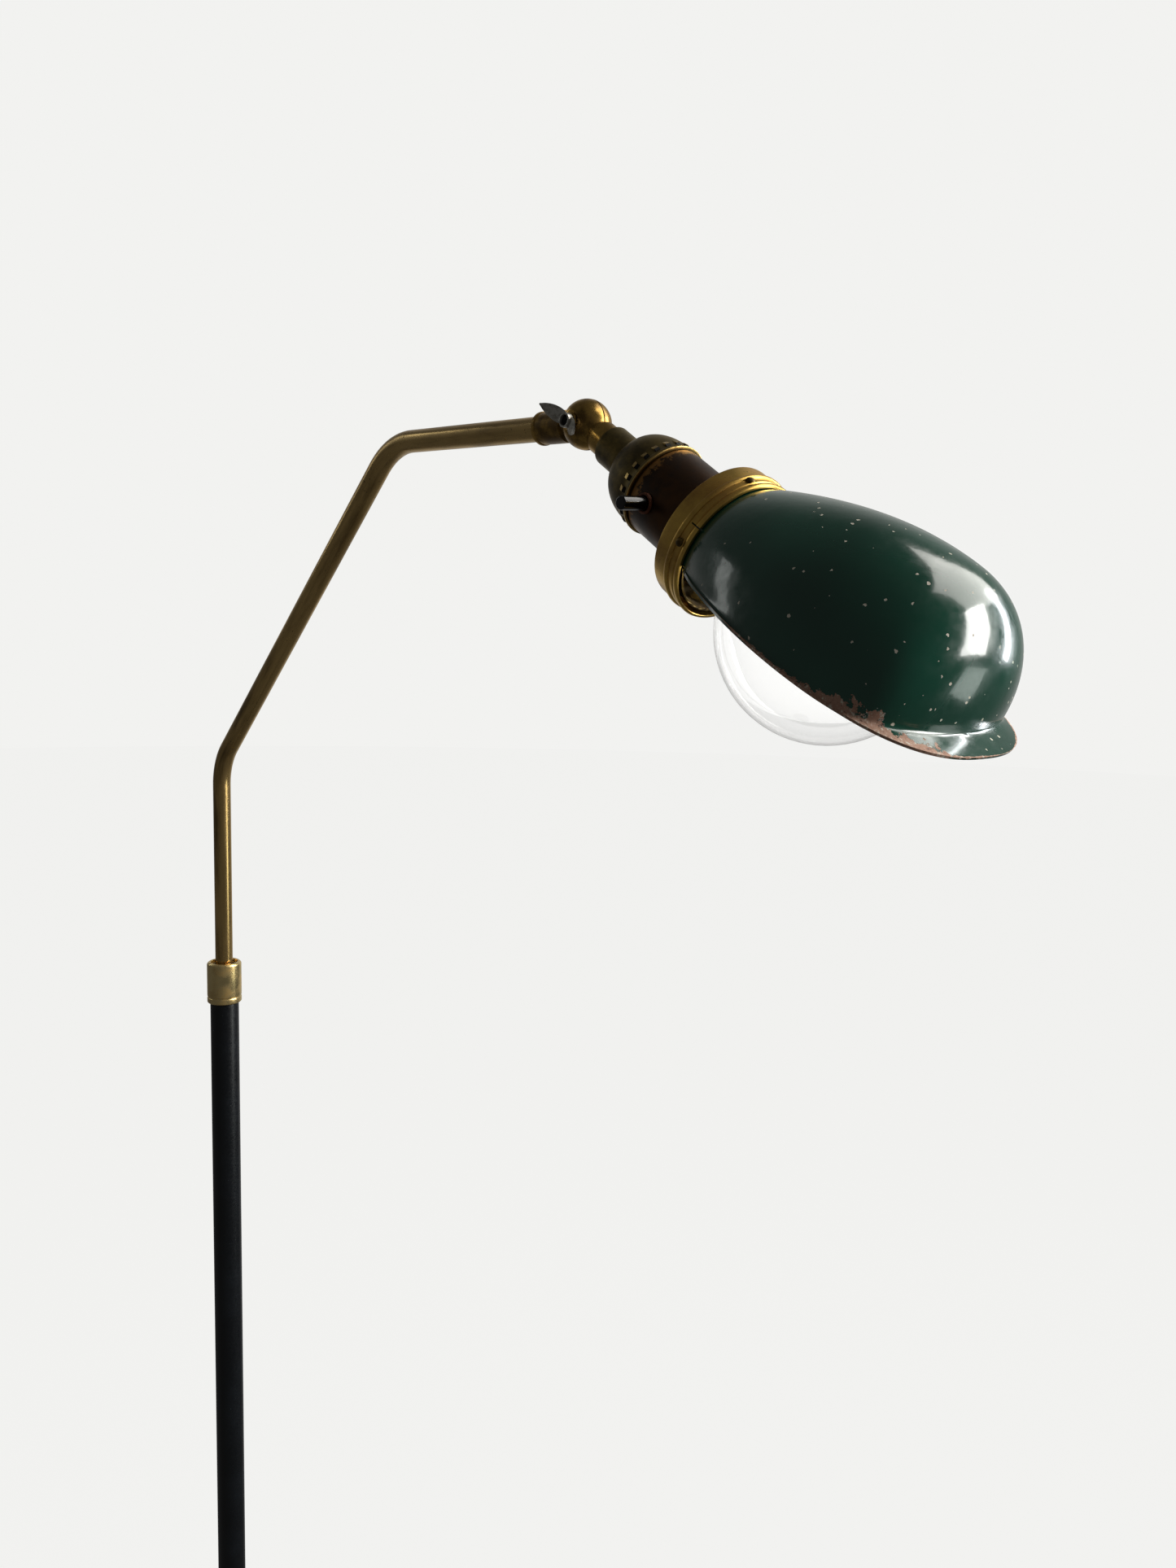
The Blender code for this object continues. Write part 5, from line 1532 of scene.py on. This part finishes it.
@dataclass
class ShadeRing:
    """The split spun ring that holds the shade, and its rivets."""

    start: float = 0.0775
    end: float = 0.0906
    diameter: float = 0.0510
    sheet: float = 0.0009
    bead: float = 0.0846
    bead_height: float = 0.0007
    groove: float = 0.0880
    hole: float = 0.0338
    split_angle: float = math.radians(73.6)
    split_width: float = 0.0005
    split_depth: float = 0.006
    split_past: float = 0.0018
    rivet_station: float = 0.0867
    rivet_head: float = 0.0030
    rivet_rise: float = 0.0008
    rivet_shank: float = 0.0009
    rivet_angles: tuple[float, ...] = (math.radians(18.0), math.radians(90.0), math.radians(-54.0))

    def outline(self) -> Outline:
        """The ring's outline: floor, straight wall, bead, groove and mouth.

        Returns:
            Points of (radius, height).
        """
        radius = self.diameter / 2.0
        inner = radius - self.sheet
        lip = radius + 0.0003
        hole = self.hole / 2.0
        points = [(hole, self.start), (radius - 0.0010, self.start), (radius - 0.0005, self.start + 0.0001)]
        points += [(radius - 0.0001, self.start + 0.0005), (radius, self.start + 0.0010)]
        for step in range(13):
            angle = math.pi * step / 12
            points.append((radius + self.bead_height * math.sin(angle), self.bead - 0.0011 * math.cos(angle)))
        groove = self.groove
        points += [(radius, groove - 0.0004), (radius - 0.0004, groove), (radius, groove + 0.0004)]
        points += [(lip, groove + 0.0010), (lip, self.end - 0.0006), (lip - 0.0002, self.end - 0.0002)]
        points += [(lip - 0.0006, self.end), (inner + 0.0002, self.end), (inner, self.end - 0.0002)]
        return points + [(inner, self.start + self.sheet), (hole, self.start + self.sheet)]

    def build(self) -> None:
        """Makes the ring with its split, and the rivet heads."""
        ring = turned("shade_ring", self.outline(), RIM_FACES)
        bm = bmesh.new()
        bmesh.ops.create_cube(bm, size=1.0)
        slot = from_bmesh("work", bm)
        length = self.end - self.bead
        slot.data.transform(Matrix.Diagonal((self.split_depth, self.split_width, length, 1.0)))
        middle = self.end + self.split_past - length / 2.0
        slot.data.transform(Matrix.Translation((self.diameter / 2.0, 0.0, middle)))
        slot.data.transform(Matrix.Rotation(self.split_angle, 4, "Z"))
        combine(ring, slot, "DIFFERENCE")
        settle(ring, "shade", RING_BRASS, ["shade_holder_ring"], HEAD)
        for number, angle in enumerate(self.rivet_angles, start=1):
            self.build_rivet(number, angle)
        for node, name, body, slot_name, finish in (
                ("shade_collar", "shade_inner_collar", "shade", "bright_brass", INNER_BRASS),
                ("shade_seat", "shade_seat_flange", "head", "bright_brass", INNER_BRASS),
                ("seat_washer", "shade_seat_washer", "head", "fibre", FIBRE)):
            settle(copy_of(node, name), body, finish, [node])

    def build_rivet(self, number: int, angle: float) -> None:
        """Makes one rivet, domed outside and flat inside.

        Args:
            number: its number in the names.
            angle: its turn round the head, in radians.
        """
        outside = self.diameter / 2.0 + 0.0004
        inside = self.diameter / 2.0 - self.sheet - 0.0030 - 0.0002
        head = self.rivet_head / 2.0
        outline: Outline = [(0.0, inside - 0.0006), (head * 0.8, inside - 0.0005), (head, inside - 0.0001)]
        outline += [(head, inside), (self.rivet_shank, inside), (self.rivet_shank, outside), (head, outside)]
        for step in range(1, 6):
            lean = QUARTER * step / 6
            outline.append((head * math.cos(lean), outside + self.rivet_rise * math.sin(lean)))
        outline.append((0.0, outside + self.rivet_rise))
        lay = Matrix.Translation((0.0, 0.0, self.rivet_station)) @ Matrix.Rotation(angle, 4, "Z")
        lay = HEAD @ lay @ Matrix.Rotation(QUARTER, 4, "Y")
        rivet = turned(f"shade_rivet_head_{number}", outline, RIVET_FACES)
        settle(rivet, "shade", INNER_BRASS, [f"shade_rivet_{number}"], lay)


@dataclass
class Shade:
    """The half shade: a spun dome with an open side and a flared brim."""

    ring_end: float = 0.0906
    start: float = 0.0840
    root: float = 0.0243
    sheet: float = 0.0009
    half_width: float = 0.0440
    height: float = 0.0430
    widest: float = 0.1600
    nose: float = 0.19255
    flare_power: float = 0.9
    plan_power: float = 4.0
    side_power: float = 2.5
    edge_at_ring: float = -0.0064
    edge_at_nose: float = 0.0025
    brim_rise: float = 0.0010
    brim_reach: float = 0.00925
    brim_side: float = 0.0014
    brim_power: float = 2.5
    columns: int = 96
    brim_steps: int = 7
    crease_from: float = 0.004
    crease_reach: int = 2
    crease_passes: int = 5
    merge_within: float = 0.00001

    def section(self, station: float) -> tuple[float, float]:
        """Half width and height of the outside at a distance along the head.

        Args:
            station: the distance from the ball.

        Returns:
            Half width and height.
        """
        if station <= self.ring_end:
            return self.root, self.root
        if station <= self.widest:
            share = (station - self.ring_end) / (self.widest - self.ring_end)
            swell = math.sin(QUARTER * share) ** self.flare_power
            return (self.root + (self.half_width - self.root) * swell,
                    self.root + (self.height - self.root) * swell)
        share = min((station - self.widest) / (self.nose - self.widest), 1.0)
        return (self.half_width * math.sqrt(1.0 - share ** self.plan_power),
                self.height * math.sqrt(1.0 - share ** self.side_power))

    def nose_share(self, station: float) -> float:
        """0 at the ring's mouth and 1 at the nose."""
        return max(0.0, min((station - self.ring_end) / (self.nose - self.ring_end), 1.0))

    def edge_height(self, station: float) -> float:
        """Height of the open edge over the head's axis."""
        return self.edge_at_ring + (self.edge_at_nose - self.edge_at_ring) * self.nose_share(station)

    def crease_height(self, station: float) -> float:
        """Height of the crease between the dome and its brim."""
        share = max(0.0, (self.nose_share(station) - 0.6) / 0.4)
        return self.edge_height(station) + self.brim_rise * share * share * (3.0 - 2.0 * share)

    def nose_tip(self) -> float:
        """The station where the dome has shrunk onto its crease.

        Returns:
            The station.
        """
        low = self.widest
        high = self.nose
        for _ in range(40):
            middle = (low + high) / 2.0
            if self.section(middle)[1] > self.crease_height(middle):
                low = middle
            else:
                high = middle
        return low

    def stations(self) -> tuple[list[float], float]:
        """The stations of the dome's rows, and the nose's.

        Returns:
            The rows' stations, and the nose's.
        """
        tip = self.nose_tip()
        made = [self.start, self.start + 0.003, self.ring_end]
        made += [self.ring_end + (self.widest - self.ring_end) * (step / 34) ** 1.15 for step in range(1, 35)]
        for step in range(1, 40):
            made.append(self.widest + (tip - self.widest) * math.sin(QUARTER * step / 40) ** 0.75)
        return made, tip

    def brim_width(self, point: Vector, outward: Vector) -> float:
        """How far the brim reaches from a point of the crease.

        Args:
            point: the point of the crease.
            outward: the way the brim goes from there.

        Returns:
            The brim's width there.
        """
        mouth = min(1.0, max(0.0, (point.z - self.ring_end) / 0.012))
        if point.z <= self.widest:
            return mouth * self.brim_side
        reach = self.nose + self.brim_reach - self.widest
        spread = self.half_width + self.brim_side
        low = 0.0
        high = reach
        for _ in range(30):
            middle = (low + high) / 2.0
            along = (point.z - self.widest + outward.z * middle) / reach
            wide = abs(point.y + outward.y * middle) / spread
            if max(along, 0.0) ** self.brim_power + wide ** self.brim_power < 1.0:
                low = middle
            else:
                high = middle
        return low

    def brim_rows(self, edge: list[Vector]) -> list[list[Vector]]:
        """Rows of points that carry the crease outward and down to the open edge.

        Args:
            edge: the crease's points in order.

        Returns:
            The rows, from the crease outwards.
        """
        rows: list[list[Vector]] = [[] for _ in range(self.brim_steps)]
        for index, point in enumerate(edge):
            before = edge[max(index - 1, 0)]
            after = edge[min(index + 1, len(edge) - 1)]
            run = Vector((0.0, after.y - before.y, after.z - before.z)).normalized()
            outward = Vector((0.0, run.z, -run.y))
            width = self.brim_width(point, outward)
            drop = point.x - self.edge_height(point.z)
            for step in range(1, self.brim_steps + 1):
                share = step / self.brim_steps
                lowered = Vector((-drop * share ** 0.6, 0.0, 0.0))
                rows[step - 1].append(point + outward * (width * share) + lowered)
        return rows

    def skin(self) -> bmesh.types.BMesh:
        """The outer skin as an open sheet, its crease rounded.

        Returns:
            The sheet.
        """
        stations, tip = self.stations()
        bm = bmesh.new()
        made = []
        for station in stations:
            wide, high = self.section(station)
            lean = math.asin(max(-1.0, min(self.crease_height(station) / high, 1.0)))
            row = []
            for step in range(self.columns + 1):
                angle = lean + (math.pi - 2.0 * lean) * step / self.columns
                row.append(bm.verts.new((high * math.sin(angle), wide * math.cos(angle), station)))
            made.append(row)
        nose = bm.verts.new((self.crease_height(tip), 0.0, tip))
        for row, after in zip(made, made[1:]):
            for step in range(self.columns):
                bm.faces.new((row[step], row[step + 1], after[step + 1], after[step]))
        for step in range(self.columns):
            bm.faces.new((made[-1][step], made[-1][step + 1], nose))
        crease = [row[0] for row in made] + [nose] + [row[-1] for row in made[::-1]]
        before = crease
        rim = []
        for row in self.brim_rows([vert.co.copy() for vert in crease]):
            rim = [bm.verts.new(point) for point in row]
            for index in range(len(rim) - 1):
                bm.faces.new((before[index], before[index + 1], rim[index + 1], rim[index]))
            before = rim
        self.round_crease(bm, crease, rim)
        bmesh.ops.remove_doubles(bm, verts=bm.verts[:], dist=self.merge_within)
        bmesh.ops.recalc_face_normals(bm, faces=bm.faces[:])
        return bm

    def round_crease(self, bm: bmesh.types.BMesh, crease: list[bmesh.types.BMVert],
                     rim: list[bmesh.types.BMVert]) -> None:
        """Relaxes the points next to the crease, so that the dome runs into its brim in a small hollow.

        Args:
            bm: the sheet.
            crease: the crease's points.
            rim: the points of the open edge, which stay.
        """
        fixed = set(rim)
        start = self.ring_end + self.crease_from
        near = {vert for vert in crease if vert.co.z > start}
        for _ in range(self.crease_reach):
            near |= {edge.other_vert(vert) for vert in near for edge in vert.link_edges}
        near -= fixed
        near = {vert for vert in near if vert.co.z > start}
        for _ in range(self.crease_passes):
            bmesh.ops.smooth_vert(bm, verts=list(near), factor=0.5, use_axis_x=True, use_axis_y=True,
                                  use_axis_z=True)

    def thicken(self, bm: bmesh.types.BMesh) -> None:
        """Closes the sheet with an inner skin, which takes the second material.

        Args:
            bm: the sheet.
        """
        total = sum(face.normal.dot(Vector((face.calc_center_median().x, face.calc_center_median().y, 0.0)))
                    for face in bm.faces)
        if total < 0.0:
            bmesh.ops.reverse_faces(bm, faces=bm.faces[:])
        bm.normal_update()
        outer = bm.verts[:]
        faces = bm.faces[:]
        rim = [edge for edge in bm.edges if len(edge.link_faces) == 1]
        inner = {vert: bm.verts.new(vert.co - vert.normal * self.sheet) for vert in outer}
        for face in faces:
            lining = bm.faces.new([inner[vert] for vert in reversed(face.verts)])
            lining.material_index = 1
        for edge in rim:
            first, second = edge.verts
            bm.faces.new((first, second, inner[second], inner[first]))

    def keep_place(self, mesh: bpy.types.Mesh, edge: np.ndarray) -> None:
        """Stores each point's place along and across the head and its distance from the edge, in millimetres.

        Args:
            mesh: the finished mesh.
            edge: the open edge's points.
        """
        spots = np.zeros(len(mesh.vertices) * 3, np.float32)
        mesh.vertices.foreach_get("co", spots)
        spots = spots.reshape(-1, 3)
        nearest = np.full(len(spots), 1e9)
        for point in edge:
            nearest = np.minimum(nearest, np.linalg.norm(spots - point, axis=1))
        place = np.stack([spots[:, 2], spots[:, 1], nearest], axis=1) * 1000.0
        layer = mesh.attributes.new(SHADE_PLACE, "FLOAT_VECTOR", "POINT")
        layer.data.foreach_set("vector", place.astype(np.float32).ravel())

    def build(self) -> None:
        """Makes the shade, green outside and pale inside."""
        bm = self.skin()
        open_edge = {vert for edge in bm.edges if len(edge.link_faces) == 1 for vert in edge.verts}
        rim = np.array([vert.co for vert in open_edge if vert.co.z > self.ring_end], dtype=float)
        self.thicken(bm)
        mesh = bpy.data.meshes.new("shade_green")
        bmesh.ops.recalc_face_normals(bm, faces=bm.faces[:])
        bm.to_mesh(mesh)
        bm.free()
        self.keep_place(mesh, rim)
        shade = new_object("shade_green", mesh)
        mesh.materials.append(GREEN_ENAMEL.material())
        mesh.materials.append(INNER_ENAMEL.material())
        settle(shade, "shade", GREEN_ENAMEL, ["shade_shell"], HEAD, 50.0)


@dataclass
class Bulb:
    """The clear globe bulb, with its stem and filament."""

    radius: float = 0.0360
    centre: float = 0.1360
    wall: float = 0.0007
    cap_diameter: float = 0.0262
    cap_end: float = 0.0870
    stem_end: float = 0.1120

    def outline(self, inset: float) -> Outline:
        """The glass from its neck to its top, pulled in by a wall thickness.

        Args:
            inset: the thickness, or zero for the outside.

        Returns:
            Points of (radius, height).
        """
        neck = self.cap_diameter / 2.0 - 0.0009
        neck_at = self.cap_end + 0.0005
        join = self.centre - self.radius * 0.667
        join_radius = math.sqrt(self.radius ** 2 - (self.centre - join) ** 2)
        slope = (self.centre - join) / join_radius
        span = join - neck_at
        points = [(neck - inset, self.cap_end - 0.0028)]
        for step in range(19):
            share = step / 18
            rise = 3.0 * share ** 2 - 2.0 * share ** 3
            lead = share * (1.0 - share) ** 2 * span * 0.12
            finish = (share ** 3 - share ** 2) * span * slope
            points.append((neck + (join_radius - neck) * rise + lead + finish - inset, neck_at + span * share))
        first = math.atan2(join_radius, join - self.centre)
        ball = self.radius - inset
        for step in range(1, 33):
            angle = first * (1.0 - step / 33)
            points.append((ball * math.sin(angle), self.centre + ball * math.cos(angle)))
        return points + [(0.0, self.centre + ball)]

    def build(self) -> None:
        """Makes the glass and the stem, and dresses the cap and filament."""
        outline = self.outline(0.0) + self.outline(self.wall)[::-1]
        globe = turned("bulb_clear_globe", outline, GLOBE_FACES)
        settle(globe, "head", GLASS, ["bulb_glass"], HEAD)
        base = self.cap_end - 0.0010
        stem = [(0.0, base), (0.0095, base), (0.0095, base + 0.0010), (0.0050, base + 0.0060)]
        stem += [(0.0032, base + 0.0120), (0.0030, self.stem_end - 0.0030), (0.0036, self.stem_end - 0.0010)]
        stem += [(0.0028, self.stem_end), (0.0, self.stem_end)]
        pinch = turned("bulb_glass_stem", soften(stem, 0.0015), SMALL)
        settle(pinch, "head", GLASS, ["bulb_stem"], HEAD)
        settle(copy_of("bulb_filament", "bulb_wire"), "head", TUNGSTEN, ["bulb_filament"])
        settle(copy_of("bulb_cap", "bulb_brass_cap"), "head", INNER_BRASS, ["bulb_cap"])


CARRIED = {
    "friction_bush": NYLON, "arm_guide_bush": NYLON, "pole_stud": STEEL, "pole_washer": STEEL, "pole_nut": STEEL,
    "cap_set_screw": DARK_STEEL, "cap_lock_nut": STEEL, "insulating_liner": FIBRE, "socket_body": PORCELAIN,
    "screw_shell": INNER_BRASS, "centre_contact": INNER_BRASS, "terminal_screw_lower": STEEL,
    "terminal_screw_upper": STEEL, "bulb_insulator": BLACK_ROD, "bulb_contact": STEEL,
}


def dress_carried_nodes() -> None:
    """Gives every CAD node that is shown as it is a finish that reads object coordinates."""
    for name, node in frame["nodes"].items():
        if node.hide_render:
            continue
        finish = CARRIED[name]
        if isinstance(finish, OldBrass):
            finish = OldBrass(finish.name + "_carried", bright=finish.bright, dark=finish.dark,
                              cover=finish.cover, patch_mm=finish.patch_mm, shine=finish.shine,
                              dull=finish.dull, place=Place.OBJECT)
        node.data.materials.clear()
        node.data.materials.append(finish.material())
        LOG.info("CAD node %s carried over in %s", name, finish.name)


# Stage


@dataclass
class Stage:
    """The floor, the surroundings, the window light and the camera."""

    camera_place: tuple[float, float, float] = (0.6270, -0.3141, 1.2662)
    heading: float = math.radians(46.0)
    dip: float = math.radians(6.6)
    roll: float = math.radians(1.32)
    lens: float = 27.03
    floor_colour: str = "F2F2F0"
    floor_base: str = "2E2D2D"
    floor_glow: float = 0.985
    floor_radius: float = 14.0
    wall_colour: str = "F2F2F0"
    wall_light: str = "F4F3F0"
    wall_strength: float = 0.5
    room_strength: float = 0.085
    through_glass: float = 0.26
    aim: tuple[float, float, float] = (0.40, 0.0, 1.28)

    def axes(self) -> tuple[Vector, Vector, Vector]:
        """The camera's right, up and forward directions.

        Returns:
            The three directions.
        """
        forward = Vector((-math.sin(self.heading) * math.cos(self.dip),
                          math.cos(self.heading) * math.cos(self.dip), -math.sin(self.dip)))
        right = Vector((math.cos(self.heading), math.sin(self.heading), 0.0))
        up = right.cross(forward)
        across_view = math.cos(self.roll) * right + math.sin(self.roll) * up
        over_view = -math.sin(self.roll) * right + math.cos(self.roll) * up
        return across_view, over_view, forward

    def build_camera(self) -> None:
        """Makes the camera."""
        right, up, forward = self.axes()
        data = bpy.data.cameras.new("camera")
        data.lens = self.lens
        data.sensor_width = 36.0
        data.clip_start = 0.01
        camera = bpy.data.objects.new("camera", data)
        turn = Matrix((right, up, -forward)).transposed().to_4x4()
        camera.matrix_world = Matrix.Translation(Vector(self.camera_place)) @ turn
        bpy.context.scene.collection.objects.link(camera)
        bpy.context.scene.camera = camera

    def build_floor(self) -> None:
        """Makes a wide pale floor that glows softly, so that it stays even."""
        bm = bmesh.new()
        bmesh.ops.create_circle(bm, cap_ends=True, segments=GLOBE_FACES, radius=self.floor_radius)
        mesh = bpy.data.meshes.new("floor")
        bm.to_mesh(mesh)
        bm.free()
        floor = new_object("floor", mesh)
        material = bpy.data.materials.new("pale_floor")
        material.use_nodes = True
        shader = material.node_tree.nodes["Principled BSDF"]
        shader.inputs["Base Color"].default_value = linear(self.floor_base)
        shader.inputs["Roughness"].default_value = 0.9
        shader.inputs["Specular IOR Level"].default_value = 0.0
        shader.inputs["Emission Color"].default_value = linear(self.floor_colour)
        shader.inputs["Emission Strength"].default_value = self.floor_glow
        mesh.materials.append(material)
        floor.visible_diffuse = False
        floor.visible_glossy = False

    def build_world(self) -> None:
        """A pale wall on the far side and a dim room on the near side; what is seen past the lamp is pale."""
        world = bpy.data.worlds.new("studio")
        bpy.context.scene.world = world
        world.use_nodes = True
        tree = world.node_tree
        tree.nodes.clear()
        way = add_node(tree, "ShaderNodeTexCoord").outputs["Generated"]
        wall = (-math.sin(self.heading), math.cos(self.heading), 0.05)
        facing = add_node(tree, "ShaderNodeVectorMath", {0: way, 1: wall}, operation="DOT_PRODUCT")
        near = add_node(tree, "ShaderNodeMapRange",
                        {"Value": facing.outputs["Value"], "From Min": 0.5, "From Max": 1.0,
                         "To Min": self.room_strength, "To Max": self.wall_strength},
                        interpolation_type="SMOOTHSTEP")
        light = add_node(tree, "ShaderNodeBackground",
                         {"Color": linear(self.wall_light), "Strength": near.outputs["Result"]})
        path = add_node(tree, "ShaderNodeLightPath")
        clear = add_node(tree, "ShaderNodeMath",
                         {0: path.outputs["Is Transmission Ray"], 1: self.through_glass, 2: 1.0},
                         operation="MULTIPLY_ADD")
        seen = add_node(tree, "ShaderNodeBackground",
                        {"Color": linear(self.wall_colour), "Strength": clear.outputs["Value"]})
        straight = add_node(tree, "ShaderNodeMath",
                            {0: path.outputs["Is Camera Ray"], 1: path.outputs["Is Transmission Ray"]},
                            operation="MAXIMUM")
        mixed = add_node(tree, "ShaderNodeMixShader",
                         {0: straight.outputs["Value"], 1: light.outputs["Background"],
                          2: seen.outputs["Background"]})
        add_node(tree, "ShaderNodeOutputWorld", {"Surface": mixed.outputs["Shader"]})

    def add_light(self, name: str, place: tuple[float, float, float], size: tuple[float, float], power: float,
                  colour: str) -> None:
        """Adds an area light that faces the lamp's head.

        Args:
            name: the light's name.
            place: right, up and toward the camera from the lamp's head, in metres.
            size: its width and height.
            power: its power in watts.
            colour: its colour.
        """
        right, up, forward = self.axes()
        aim = Vector(self.aim)
        spot = aim + right * place[0] + up * place[1] - forward * place[2]
        data = bpy.data.lights.new(name, "AREA")
        data.shape = "RECTANGLE"
        data.size, data.size_y = size
        data.energy = power
        data.color = linear(colour)[:3]
        light = bpy.data.objects.new(name, data)
        turn = (aim - spot).to_track_quat("-Z", "Y").to_matrix().to_4x4()
        light.matrix_world = Matrix.Translation(spot) @ turn
        bpy.context.scene.collection.objects.link(light)

    def build(self) -> None:
        """Builds the whole stage."""
        bpy.context.scene.view_settings.view_transform = "Standard"
        self.build_camera()
        self.build_floor()
        self.build_world()
        self.add_light("window_main", (1.1, 0.12, 0.08), (0.36, 0.62), 10.0, "FFFEFA")
        self.add_light("window_strip", (1.02, 0.22, -0.42), (0.10, 0.70), 4.5, "F8FBFF")
        self.add_light("window_low", (1.05, -0.38, -0.12), (0.30, 0.24), 0.6, "F4FFF8")
        self.add_light("room_soft", (1.50, 1.35, -0.15), (1.5, 1.6), 34.0, "FFFCF6")
        self.add_light("room_left", (-1.2, 0.60, -0.55), (0.14, 0.60), 0.45, "F4F8F4")


def main() -> None:
    """Builds the stage and every sub-assembly in order."""
    logging.basicConfig(level=logging.INFO, format="%(name)s: %(message)s")
    Stage().build()
    for part in (Foot(), Pole(), Arm(), Knuckle(), Socket(), ShadeRing(), Shade(), Bulb()):
        part.build()
        LOG.info("%s built", type(part).__name__)
    dress_carried_nodes()


if __name__ == "__main__":
    main()
